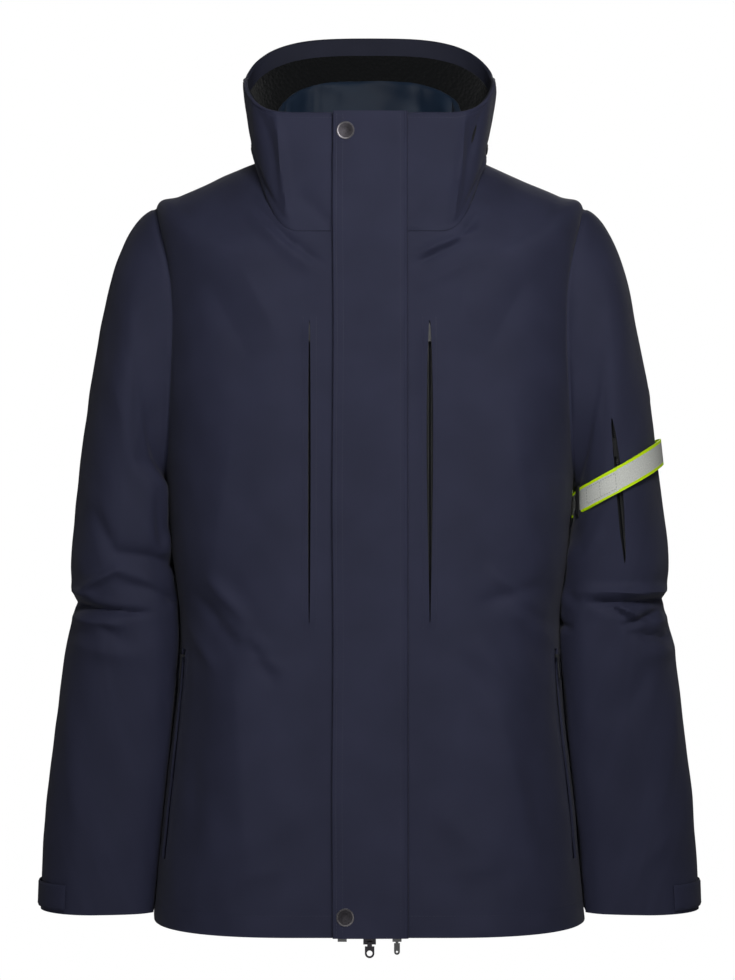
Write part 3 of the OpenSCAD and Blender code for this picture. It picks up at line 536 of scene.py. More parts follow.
# %% Fleece
# Micro fleece: knitted polyester brushed on its face; nearly black, no gloss at all
black_fleece, tree, shader = finish(
    "brushed_micro_fleece_black",
    Roughness=1.0,
    Specular_IOR_Level=0.02,
    Sheen_Weight=0.08,
    Sheen_Roughness=0.7,
)
where = node(tree, "ShaderNodeTexCoord")
pile = node(
    tree,
    "ShaderNodeTexNoise",
    {"Vector": (where, "Object"), "Scale": 420.0, "Detail": 5.0, "Roughness": 0.75},
)
tuft = node(tree, "ShaderNodeTexVoronoi", {"Vector": (where, "Object"), "Scale": 260.0})
both = node(tree, "ShaderNodeMath", operation="ADD")
tree.links.new(pile.outputs["Fac"], both.inputs[0])
tree.links.new(tuft.outputs["Distance"], both.inputs[1])
bump = node(tree, "ShaderNodeBump", {"Strength": 0.9, "Distance": 0.0012, "Height": (both, "Value")})
tone = node(tree, "ShaderNodeValToRGB", {"Fac": (pile, "Fac")})
tone.color_ramp.elements[0].color = linear("#050607")
tone.color_ramp.elements[1].color = linear("#0e1012")
plug(tree, shader, Base_Color=(tone, "Color"), Normal=(bump, "Normal"))


# %% [markdown]
# The metal parts are die-cast zinc with a dark plating, called gunmetal. The plating
# is smooth and a little worn, so the colour and the roughness vary over a millimetre
# or two. Moulded plastic is plain black acetal with a fine spark-eroded grain.

# %% Metal and plastic
def grained(name, dark, light, grain_mm, rough_low, rough_high, bump_strength, **shader):
    """A hard finish whose tone and roughness vary at the size of its grain."""
    material, tree, principled = finish(name, **shader)
    where = node(tree, "ShaderNodeTexCoord")
    grain = node(
        tree,
        "ShaderNodeTexNoise",
        {"Vector": (where, "Object"), "Scale": 1 / (grain_mm * MM), "Detail": 4.0},
    )
    tone = node(tree, "ShaderNodeValToRGB", {"Fac": (grain, "Fac")})
    tone.color_ramp.elements[0].position, tone.color_ramp.elements[1].position = 0.3, 0.75
    tone.color_ramp.elements[0].color, tone.color_ramp.elements[1].color = linear(dark), linear(light)
    rough = node(
        tree,
        "ShaderNodeMapRange",
        {"Value": (grain, "Fac"), "To Min": rough_low, "To Max": rough_high},
    )
    bump = node(
        tree,
        "ShaderNodeBump",
        {"Strength": bump_strength, "Distance": 0.0001, "Height": (grain, "Fac")},
    )
    plug(tree, principled, Base_Color=(tone, "Color"), Roughness=(rough, "Result"), Normal=(bump, "Normal"))
    return material


# Gunmetal plating on zinc: dark, warm grey, reflecting the softboxes as a dull glow
gunmetal = grained("gunmetal_plated_zinc", "#2c2a2d", "#403e42", 1.5, 0.42, 0.58, 0.15, Metallic=1.0)
# Bright wear on the rim of a snap, where the plating has rubbed to the zinc
worn_rim = grained("rubbed_zinc_rim", "#4a484b", "#626062", 1.0, 0.3, 0.45, 0.15, Metallic=1.0)
# Acetal: moulded black plastic, faint sheen
black_acetal = grained(
    "moulded_acetal_black", "#0d0e10", "#18191c", 0.8, 0.35, 0.5, 0.4, Specular_IOR_Level=0.45
)
# Painted zinc: black enamel of the small sliders
black_enamel = grained(
    "black_enamelled_zinc", "#0c0d10", "#17181b", 1.0, 0.25, 0.4, 0.2, Specular_IOR_Level=0.5
)

# %% [markdown]
# Reflective tape is a silver layer of glass beads on a woven strip. In plain light it
# is a flat light grey. Its edges are woven in fluorescent yellow, which looks brighter
# than any dye can, because it turns unseen light to yellow: a weak emission of the
# same colour stands for that. The UV map's second number says how far across the
# strip a point is, so one material holds both.

# %% Reflective tape
TAPE_HALF = 12.5
EDGE_W = 2.6


def tape_finish(name, silver_dark, silver_light):
    material, tree, principled = finish(name, Roughness=0.55, Specular_IOR_Level=0.35)
    uv, height, bump = weave(tree, 1.2, 0.35)
    across = node(tree, "ShaderNodeSeparateXYZ", {"Vector": (uv, "UV")})
    middle = node(tree, "ShaderNodeMath", {1: TAPE_HALF * MM}, operation="SUBTRACT")
    tree.links.new(across.outputs["Y"], middle.inputs[0])
    away = node(tree, "ShaderNodeMath", operation="ABSOLUTE")
    tree.links.new(middle.outputs["Value"], away.inputs[0])
    edge = node(tree, "ShaderNodeMath", {1: (TAPE_HALF - EDGE_W) * MM}, operation="GREATER_THAN")
    tree.links.new(away.outputs["Value"], edge.inputs[0])
    beads = node(tree, "ShaderNodeTexNoise", {"Vector": (uv, "UV"), "Scale": 700.0, "Detail": 3.0})
    silver = node(tree, "ShaderNodeValToRGB", {"Fac": (beads, "Fac")})
    silver.color_ramp.elements[0].position, silver.color_ramp.elements[1].position = 0.3, 0.7
    silver.color_ramp.elements[0].color, silver.color_ramp.elements[1].color = linear(silver_dark), linear(
        silver_light
    )
    # The fluorescent edge threads follow the weave's height: painted light on their crowns, painted shade
    # between them
    threads = node(tree, "ShaderNodeValToRGB", {"Fac": (height, "Value")})
    threads.color_ramp.elements[0].color = linear("#a9c400")
    threads.color_ramp.elements[1].color = linear("#d2f000")
    colour = node(
        tree,
        "ShaderNodeMix",
        {0: (edge, "Value"), 6: (silver, "Color"), 7: (threads, "Color")},
        data_type="RGBA",
    )
    glow = node(tree, "ShaderNodeMix", {0: (edge, "Value")}, data_type="RGBA")
    glow.inputs[6].default_value = (0, 0, 0, 1)
    glow.inputs[7].default_value = linear("#8cb000")
    tree.links.new(colour.outputs[2], principled.inputs["Base Color"])
    tree.links.new(glow.outputs[2], principled.inputs["Emission Color"])
    principled.inputs["Emission Strength"].default_value = 0.35
    tree.links.new(bump.outputs["Normal"], principled.inputs["Normal"])
    return material


# Glass-bead reflective tape with fluorescent woven edges
reflective_tape = tape_finish("glass_bead_tape_silver", "#c4c6c0", "#dcded8")

# %% [markdown]
# ## The front panels
# Each front runs from the zip to the side seam, and up to the neck. It has two slits:
# an upright one over the chest pocket and a leaning one over the hand pocket. The
# slits are gaps in the grid, whose edges are pulled together at their ends, and the
# cloth beside them is lifted into a soft lip.

# %% Rows of the body, close together where the shoulder turns
STEPS = (22, 40, 22, 16, 22, 20, 18, 12, 12, 14)
ROWS = np.concatenate([np.linspace(i, i + 1, n, endpoint=False) for i, n in enumerate(STEPS)] + [[10.0]])
CHEST_X, CHEST_TOP, CHEST_LEN = 57.5, 138, 288
HAND_RISE, HAND_LEN, HAND_ANGLE = 64, 205, 68.5
chest_marks = station_at(-CHEST_TOP - CHEST_LEN), station_at(-CHEST_TOP)
hand_marks = station_at(-BODY_DROP + HAND_RISE), station_at(-BODY_DROP + HAND_RISE + HAND_LEN)


def row_near(rows, mark):
    """Moves the nearest row onto a mark, and says which row it is."""
    r = int(np.argmin(np.abs(rows - mark)))
    rows[r] = mark
    return r


chest_rows = [row_near(ROWS, mark) for mark in chest_marks]
hand_rows = [row_near(ROWS, mark) for mark in hand_marks]
front_z = at(TORSO, ROWS)[:, 0]
print("rows:", len(ROWS), "chest slit rows:", chest_rows, "hand slit rows:", hand_rows)

# %% [markdown]
# The folds of the body, as (across, up) from and to, width and height, all in
# millimetres. The waist breaks into short slanted folds that point to the elbows, the
# chest has long shallow pulls from the shoulders, and the foot of the collar has the
# deep creases of a stiff cloth that is bent twice.

# %% Folds of the body
RIGHT_FOLDS = [
    ((-152, -388), (-118, -424), 8, 2.6), ((-166, -404), (-128, -446), 9, -2.4),
    ((-140, -428), (-96, -452), 9, 2.0), ((-176, -432), (-150, -470), 8, 1.8),
    ((-118, -440), (-92, -482), 8, -1.6), ((-110, -458), (-84, -470), 7, 1.5),
    ((-130, -240), (-156, -400), 26, 1.6), ((-120, -92), (-88, -150), 14, 1.3),
    ((-150, -110), (-112, -180), 18, -1.2), ((-128, -480), (-118, -640), 24, 1.7),
    ((-166, -500), (-172, -650), 16, -1.2), ((-90, -520), (-100, -600), 20, 1.0),
    ((-60, -600), (-110, -640), 16, 0.9), ((-68, -655), (-130, -672), 10, 0.8),
]
LEFT_FOLDS = [
    ((118, -380), (168, -418), 9, 2.6), ((108, -408), (164, -392), 9, -1.9),
    ((132, -412), (176, -446), 8, 2.2), ((104, -448), (150, -500), 10, 1.9),
    ((150, -436), (170, -470), 9, -1.6), ((84, -456), (118, -500), 9, -1.3),
    ((136, -230), (160, -380), 26, 1.7), ((96, -84), (86, -150), 14, 1.1),
    ((150, -100), (112, -170), 18, -1.2), ((120, -500), (150, -620), 22, 1.8),
    ((150, -560), (168, -640), 16, -1.5), ((80, -520), (96, -590), 20, 1.1),
    ((64, -600), (112, -650), 14, 1.0), ((70, -662), (130, -656), 10, 0.8),
]
NECK_FOLDS = [
    ((-112, -22), (-74, -64), 6, -3.0), ((-108, -40), (-60, -84), 8, 2.2),
    ((-84, -58), (-40, -86), 6, -1.8), ((108, -28), (84, -62), 6, -2.6),
    ((100, -52), (44, -74), 7, 2.4), ((88, -62), (42, -84), 5, -2.2),
    ((100, -78), (50, -104), 9, 1.6),
]
BACK_FOLDS = [
    ((-150, -380), (-60, -420), 12, 2.4), ((-160, -420), (-80, -440), 10, -1.9),
    ((150, -385), (70, -425), 12, 2.4), ((162, -425), (86, -450), 10, -1.9),
    ((-60, -440), (70, -432), 12, 1.8), ((-120, -470), (-30, -466), 12, -1.5),
    ((30, -476), (130, -470), 12, 1.6), ((-110, -120), (-60, -300), 26, 1.8),
    ((112, -120), (64, -300), 26, 1.8), ((-100, -520), (-90, -680), 28, 1.8),
    ((98, -520), (104, -680), 28, 1.8), ((0, -500), (6, -690), 30, -1.4),
]


# How strongly the laid folds are raised, in front, at the neck and behind, and how far
# the shoulder's tip is eased down over how wide a strip, in millimetres
FRONT_GAIN, NECK_GAIN, BACK_GAIN = 2.5, 2.2, 1.5
SHOULDER_EASE, EASE_W = 1.5, 14


def body_height(points, edge):
    """Folds and unevenness of the body, fading to nothing at its sewn edges."""
    x, y, z = np.moveaxis(points, -1, 0)
    front, back = soft_step(-y / 30), soft_step(y / 30)
    height = front * FRONT_GAIN * fold_height(x, z, RIGHT_FOLDS + LEFT_FOLDS)
    height += front * NECK_GAIN * fold_height(x, z, NECK_FOLDS)
    height += back * BACK_GAIN * fold_height(x, z, BACK_FOLDS)
    height += 0.75 * unevenness(points, 115, 3) + 0.28 * unevenness(points, 42, 8)
    calm = soft_step((np.abs(x) - 34) / 26) * front + (1 - front)
    return height * calm * soft_step(edge / 14)


# %% Build one front panel
STRIP = [8, 12, 16.5, 21, 25.5, 30, 34.5, 39, 43.5, 47.5, 51, 54, 55.8, 59.2, 61, 63.5, 66]
SLIT_C = 12
SHARES = np.concatenate(
    [
        np.linspace(0.018, 65.9 / 90, 44)[:-1],
        [65.9 / 90, 71.1 / 90],
        np.linspace(71.1 / 90, 1, 17)[1:],
    ]
)
HAND_C = len(STRIP) + 43


def slit_gap(z, low, high, widest, at_middle=0.5):
    """Half width of a slit at a height: pulled together at its ends, bowed between."""
    t = np.clip((z - low) / (high - low), 0, 1)
    return 0.35 + (widest / 2 - 0.35) * np.sin(np.pi * t ** (math.log(0.5) / math.log(at_middle))) ** 0.7


def front_panel(name, side, chest_gap, at_middle):
    v = ROWS[:, None]
    strip = np.array(STRIP, float)[None] + 0 * v
    gap = slit_gap(front_z, -CHEST_TOP - CHEST_LEN, -CHEST_TOP, chest_gap, at_middle)
    strip[:, SLIT_C], strip[:, SLIT_C + 1] = CHEST_X - gap, CHEST_X + gap
    end = 90 - 0.02 - 30 * hole(v)
    angles = np.concatenate([np.minimum(strip - FLAT_HALF, -0.01), end * SHARES[None]], 1)
    points, out = skin(TORSO, v, angles), skin_out(TORSO, v, angles)
    # Distance to the sewn edges: the armhole and side, the neck, and the hem
    x, z = points[..., 0], points[..., 2]
    edge = np.minimum((end - angles) * 3.0 + 3, (10 - v) * 12 + 3)
    edge = np.minimum(edge, (v + 0.04) * 90)
    height = body_height(points * (side, 1, 1), edge)
    # Seams pull the cloth in; the lips of a slit stand out; a hem is doubled over
    height -= 0.8 * np.exp(-(((end - angles) * 3.0 / 4) ** 2))
    # The shoulder's tip is eased down to meet the head of the sleeve
    height -= SHOULDER_EASE * np.exp(
        -(((end - angles) * 3.0 / EASE_W) ** 2)
    ) * soft_step((v - 5.9) / 0.8) * soft_step((7.9 - v) / 0.8)
    near_chest = np.abs(x - CHEST_X) - gap[:, None]
    in_chest = soft_step((z + CHEST_TOP + CHEST_LEN + 8) / 16) * soft_step((-CHEST_TOP + 8 - z) / 16)
    height += 1.1 * in_chest * np.exp(-((near_chest / 5) ** 2)) * (angles < 8)
    hand_z = -BODY_DROP + HAND_RISE
    in_hand = soft_step((z - hand_z + 6) / 12) * soft_step((hand_z + HAND_LEN + 6 - z) / 12)
    lip = np.exp(-(((np.abs(angles - HAND_ANGLE) - 1.7) * 2.6 / 5) ** 2))
    height += 0.7 * in_hand * lip
    height -= 0.55 * np.exp(-(((z + BODY_DROP - 22) / 1.6) ** 2))
    outer, inner = raise_cloth(points, out, height)
    slits = [
        (chest_rows[0], chest_rows[1], SLIT_C, SLIT_C + 1),
        (hand_rows[0], hand_rows[1], HAND_C, HAND_C + 1),
    ]
    piece = wall(name, outer, inner, slits=slits, flip=side < 0)
    return piece, outer


front_right, right_grid = front_panel("front_panel_right_cloth", -1, 2.6, 0.5)
front_left, left_grid = front_panel("front_panel_left_cloth", 1, 6.4, 0.62)
settle(front_right, "root", "shell_fabric", navy_nylon, "front_right_panel")
settle(front_left, "root", "shell_fabric", navy_nylon, "front_left_panel")

# %% [markdown]
# ## The back
# One piece, from side seam to side seam, with the same rows as the fronts so that the
# seams close.

# %% Build the back
BACK_COLS = 56
share = np.linspace(-1, 1, 2 * BACK_COLS + 1)[None]
v = ROWS[:, None]
start = 90 + 0.02 + 30 * hole(v)
angles = mix(180, start, np.abs(share))
points, out = skin(TORSO, v, angles), skin_out(TORSO, v, angles)
side_sign = np.where(share < 0, 1, -1)[..., None] * np.array([1, 0, 0]) + np.array([0, 1, 1])
points, out = points * side_sign, out * side_sign
edge = np.minimum((angles - start) * 3.2 + 3, (10 - v) * 12 + 3)
edge = np.minimum(edge, (v + 0.04) * 90)
height = body_height(points, edge)
height -= 0.8 * np.exp(-(((angles - start) * 3.2 / 4) ** 2))
height -= SHOULDER_EASE * np.exp(
    -(((angles - start) * 3.2 / EASE_W) ** 2)
) * soft_step((v - 5.9) / 0.8) * soft_step((7.9 - v) / 0.8)
height -= 0.55 * np.exp(-(((points[..., 2] + BODY_DROP - 22) / 1.6) ** 2))
back_outer, back_inner = raise_cloth(points, out, height)
back = wall("back_panel_cloth", back_outer, back_inner)
settle(back, "root", "shell_fabric", navy_nylon, "back_panel")

# %% [markdown]
# ## The collar
# The collar is the same navy cloth, folded over at its rim and turned in, with black
# fleece below the turning so that it is kind to the chin. The outside, the rolled rim
# and the turning are one strip of cloth, so they are one piece: rows run up the
# outside, over a half circle, and down the inside.

# %% Folds of the collar, in angle round (degrees) and height (millimetres)
COLLAR_FOLDS = [
    ((-26, 12), (6, 46), 7, -1.6), ((-40, 40), (-8, 66), 10, 1.5), ((12, 14), (16, 112), 5, 3.4),
    ((24, 60), (40, 110), 12, -1.8), ((30, 18), (60, 30), 8, -2.0), ((50, 24), (88, 12), 8, 1.8),
    ((120, 40), (170, 30), 12, 1.5), ((100, 70), (140, 96), 12, -1.2),
]
COLLAR_FOLDS_RIGHT = [
    ((-30, 10), (0, 36), 8, -1.8), ((-44, 60), (-10, 40), 9, 1.3), ((10, 20), (14, 112), 5, 3.4),
    ((20, 70), (36, 112), 12, -1.6), ((26, 20), (62, 34), 9, -2.2), ((60, 30), (92, 16), 9, 1.6),
    ((112, 30), (166, 44), 12, 1.4), ((120, 80), (160, 90), 12, -1.2),
]
HALF = np.concatenate([np.linspace(PANEL_EDGE - FLAT_HALF, -0.01, 15), np.arange(2.5, 180.1, 2.5)])
ROUND = np.concatenate([HALF, HALF[-2::-1]])[None]
ROUND_SIDE = np.concatenate([np.ones(len(HALF)), -np.ones(len(HALF) - 1)])[None]
FLIPS = ROUND_SIDE[..., None] * np.array([1, 0, 0]) + np.array([0, 1, 1])
FACING_V = 2 - 2 * 23 / 115
COLLAR_GAIN = 2.0


def collar_grid(stations, v, depth=0.0):
    """Points round a collar from one front edge to the other, and their directions."""
    points, out = skin(stations, v, ROUND), skin_out(stations, v, ROUND)
    return (points - out * depth) * FLIPS, out * FLIPS


up = np.linspace(0, 2, 40)[:, None]
points, out = collar_grid(COLLAR, up)
rise = up * 57.5
height = np.where(
    ROUND_SIDE > 0,
    fold_height(ROUND, rise, COLLAR_FOLDS),
    fold_height(ROUND, rise, COLLAR_FOLDS_RIGHT),
)
height += 0.5 * unevenness(points, 60, 5)
height *= COLLAR_GAIN * soft_step(up * 5 + 0.05) * (
    0.35 + 0.65 * soft_step((2 - up) * 3)
) * soft_step((ROUND + 60) / 16)
# The hood's zip is sewn flat round the back
height *= 1 - 0.9 * soft_step((ROUND - 64) / 8) * np.exp(-(((up - 0.4) / 0.17) ** 4))
height -= 0.5 * np.exp(-(((2 - up) * 57.5 - 6) / 1.4) ** 2)
outside = points + out * height[..., None]
# The roll: half a circle from the outside to the turning, 4.6 mm further in
ROLL = 2.3
turn = np.linspace(0, math.pi, 7)[1:-1]
top_out, top_up = out[-1], unit(points[-1] - points[-2])
lip = outside[-1] - out[-1] * ROLL
rolled = [lip + ROLL * (top_out * math.cos(t) + top_up * math.sin(t)) - top_up * ROLL for t in turn]
down = np.linspace(2, FACING_V, 10)[:, None]
inside_points, inside_out = collar_grid(COLLAR, down, 2 * ROLL)
inside_points[0] = inside_points[0] - top_up * ROLL
outside[-1] -= top_up * ROLL
outside = np.concatenate([outside, rolled, inside_points])
out_all = np.concatenate([out, [top_out * math.cos(t) + top_up * math.sin(t) for t in turn], -inside_out])
collar = wall("collar_cloth", outside, outside - out_all * 1.1)
settle(collar, "root", "shell_fabric", navy_nylon, "collar", "collar_facing")
# The turning inside the rim is doubled cloth, given the darker navy as painted shade for the shade inside the
# collar
collar.data.materials.append(navy_facing_painted_shade)
first_turned = (len(up) + 2) * ROUND.shape[1]
for face in collar.data.polygons:
    if first_turned <= min(face.vertices) and max(face.vertices) < outside.shape[0] * outside.shape[1]:
        face.material_index = 1

# %% Fleece lining of the collar
low = np.linspace(0.15, FACING_V + 0.03, 26)[:, None]
points, out = collar_grid(COLLAR, low, 2.8)
fur = 0.5 * unevenness(points, 9, 4) + 0.5 * unevenness(points, 30, 6)
lining_outer = points
lining_inner = points - out * (2.2 + 0.35 * fur)[..., None]
lining = wall("collar_fleece", lining_outer[:, 6:-6], lining_inner[:, 6:-6])
settle(lining, "root", "fleece", black_fleece, "collar_lining")

# %% [markdown]
# ## The sleeves
# A sleeve is a tube whose first ring is the armhole and whose last is the cuff. A
# sleeve cut in two would open at the elbow as it bends, so each sleeve is one piece;
# here it rides on no body. The elbow of
# a hanging sleeve is where stiff cloth buckles, into one deep crease across the front
# and a few slanted folds that run to the inside.

# %% Rings of a sleeve
CROWN = [(18, 15, 22, 77), (28, 56, 40, 80), (40, 115, 54, 80), (55, 200, 68, 78), (75, 285, 79, 75)]
ELBOW_DROP, CUFF_DROP, ELBOW_W, FOREARM_W, CUFF_D = 417, 718, 101, 115, 52
ELBOW_TOP, ELBOW_LOW = ELBOW_DROP - 40, ELBOW_DROP + 40
SLEEVE_Y, ARM_GAP, SHOULDER_W = 6, 4, 213
FOREARM = [
    (ELBOW_TOP, ELBOW_W, 71), (ELBOW_DROP, ELBOW_W, 68),
    (ELBOW_LOW, mix(ELBOW_W, FOREARM_W, 0.7), 66),
    (mix(ELBOW_LOW, CUFF_DROP, 0.4), FOREARM_W + 1, mix(66, CUFF_D, 0.55)),
    (mix(ELBOW_LOW, CUFF_DROP, 0.75), FOREARM_W, mix(66, CUFF_D, 0.85)),
    (CUFF_DROP, FOREARM_W - 3, CUFF_D),
]


def inner_x(drop):
    return at(TORSO, np.array(station_at(-drop, 0, 4.6)))[3] + ARM_GAP


RINGS = []
for low_in, low_out, reach, deep in CROWN:
    d = ARMPIT_DROP + low_in
    RINGS.append(((inner_x(d), SLEEVE_Y, -d), (SHOULDER_W + reach, SLEEVE_Y, -SHOULDER_DROP - low_out), deep))
for d, width, deep in FOREARM:
    RINGS.append(((inner_x(d), SLEEVE_Y, -d), (inner_x(d) + width, SLEEVE_Y, -d), deep))
CUFF = len(RINGS)


def ring_points(k, f):
    """Ring k of the left sleeve at angles f: 0 outside, 90 in front, 180 inside."""
    turn = np.radians(f)
    if k <= 0:
        v = 5.5 + 1.5 * np.cos(turn)
        return skin(TORSO, v, 90 - 30 * np.sin(turn)) + np.array([0.6, 0, 0])
    inner, outer, deep = RINGS[min(k, CUFF) - 1]
    middle, half = (np.array(inner) + outer) / 2, (np.array(outer, float) - inner) / 2
    points = middle + half * np.cos(turn)[..., None]
    return points - np.array([0, 1, 0]) * (deep * np.sin(turn))[..., None]


def arm_grid(s, f):
    """Points of the left sleeve at stations s (a list) and angles f (an array)."""
    rows = []
    for value in s:
        i = max(0, min(int(value), CUFF))
        rows.append(spline(*[ring_points(i + k, f) for k in (-1, 0, 1, 2)], value - i))
    return np.array(rows)


def arm_out(s, f):
    s = np.asarray(s, float)
    along = arm_grid(s, f + 2) - arm_grid(s, f - 2)
    down = arm_grid(np.minimum(s + 0.05, CUFF), f) - arm_grid(np.maximum(s - 0.05, 0), f)
    return unit(np.cross(along, down))


def arm_at(f, z, low=0.2, high=float(CUFF)):
    """The station at which the line at angle f reaches a height."""
    for _ in range(26):
        middle = (low + high) / 2
        if arm_grid([middle], np.array([float(f)]))[0, 0, 2] > z:
            low = middle
        else:
            high = middle
    return (low + high) / 2


# %% [markdown]
# The folds of a sleeve, as (angle round, drop) from and to, width and height. A degree
# round the sleeve is about a millimetre of cloth. Each sleeve has its own: no two
# elbows crease alike.

# %% Folds of the sleeves
RIGHT_ELBOW = [
    ((-30, 394), (58, 402), 7, 5.2), ((-34, 408), (104, 420), 4.5, -6.0), ((-20, 424), (90, 432), 8, 4.2),
    ((46, 398), (94, 377), 6, 3.8), ((94, 377), (128, 404), 6, 3.6), ((60, 322), (90, 360), 9, -2.8),
    ((88, 360), (165, 378), 8, -3.2), ((118, 306), (128, 356), 10, -2.6), ((128, 362), (166, 330), 8, 3.4),
    ((104, 392), (150, 414), 6, -3.2), ((130, 420), (176, 388), 7, 3.4), ((150, 300), (170, 350), 10, 2.4),
    ((66, 430), (96, 448), 8, -2.0), ((44, 452), (100, 462), 11, 2.2), ((150, 440), (175, 560), 12, 2.4),
    ((96, 470), (124, 560), 13, -1.6), ((40, 500), (70, 640), 18, 1.6), ((90, 600), (110, 680), 14, 1.2),
    ((200, 380), (330, 404), 8, 3.6), ((190, 402), (320, 416), 6, -3.8), ((210, 430), (330, 426), 9, 3.2),
    ((230, 340), (300, 372), 11, 2.6), ((200, 460), (260, 520), 14, 2.0), ((60, 180), (96, 260), 16, 1.4),
    ((120, 200), (112, 290), 16, -1.4), ((250, 200), (240, 300), 20, 1.6), ((4, 540), (20, 640), 20, 1.4),
]
LEFT_ELBOW = [
    ((-34, 398), (120, 400), 6, 4.6), ((-30, 408), (104, 410), 4, -5.4), ((104, 410), (86, 424), 4, -3.6),
    ((92, 412), (62, 428), 5, 3.6), ((40, 420), (86, 432), 4.5, -4.0), ((-30, 424), (44, 430), 9, 4.8),
    ((22, 446), (78, 440), 6, -3.6), ((-20, 456), (70, 462), 11, 2.4), ((120, 420), (150, 404), 7, 3.6),
    ((130, 436), (176, 424), 6, -4.0), ((150, 386), (178, 396), 7, -4.4), ((138, 360), (176, 372), 8, 3.2),
    ((150, 300), (170, 340), 9, -3.0), ((112, 350), (142, 330), 10, 2.2), ((60, 470), (96, 520), 12, -1.8),
    ((30, 500), (60, 600), 16, 1.6), ((84, 540), (74, 640), 16, 1.6), ((150, 450), (172, 560), 12, 2.4),
    ((200, 384), (330, 400), 8, 3.6), ((190, 404), (320, 418), 6, -3.8), ((210, 432), (330, 428), 9, 3.2),
    ((230, 340), (300, 372), 11, 2.6), ((200, 460), (260, 520), 14, 2.0), ((64, 640), (110, 690), 12, 1.2),
    ((136, 130), (120, 240), 14, 1.4), ((250, 200), (240, 300), 20, 1.6), ((2, 540), (14, 640), 20, 1.4),
]
SLIT_LOW_Z, SLEEVE_SLIT_LEN = -ELBOW_TOP + 6, 140
slit_low_s, slit_top_s = arm_at(90, SLIT_LOW_Z), arm_at(90, SLIT_LOW_Z + SLEEVE_SLIT_LEN)


# %% Lay the inner face of a hanging sleeve against the body
# The farthest that a sleeve's inner face is moved, and how far below the armpit that
# starts. It is less under the arm band, down to BAND_FREE, so that the ring stays clear
HUG_MOST, HUG_START = 16, -22
BAND_HUG_MOST, BAND_HUG_START, BAND_FREE = 5, 10, 335
ELBOW_GAIN, ELBOW_MOST = 2.1, 9


def hug_body(points, out, most, start):
    """Below the armpit the sleeve rests along the body, a millimetre or so off it."""
    x, y, z = np.moveaxis(points, -1, 0)
    v = np.interp(z, front_z, ROWS)
    half, deep, square = np.moveaxis(at(TORSO, v)[..., 3:6], -1, 0)
    deep = np.where(y < 0, -front_y(z), deep)
    flat = np.where(y < 0, FLAT_HALF, 0)
    body_x = flat + (half - flat) * np.clip(1 - (np.abs(y) / deep) ** square, 0, 1) ** (1 / square)
    gap = np.clip(x - body_x - 1.3, -3, most + (HUG_MOST - most) * soft_step((-z - BAND_FREE) / 40))
    facing = soft_step((-out[..., 0] - 0.05) / 0.5) * soft_step((-z - ARMPIT_DROP - start) / 30)
    return points - np.array([1, 0, 0]) * (gap * facing)[..., None]


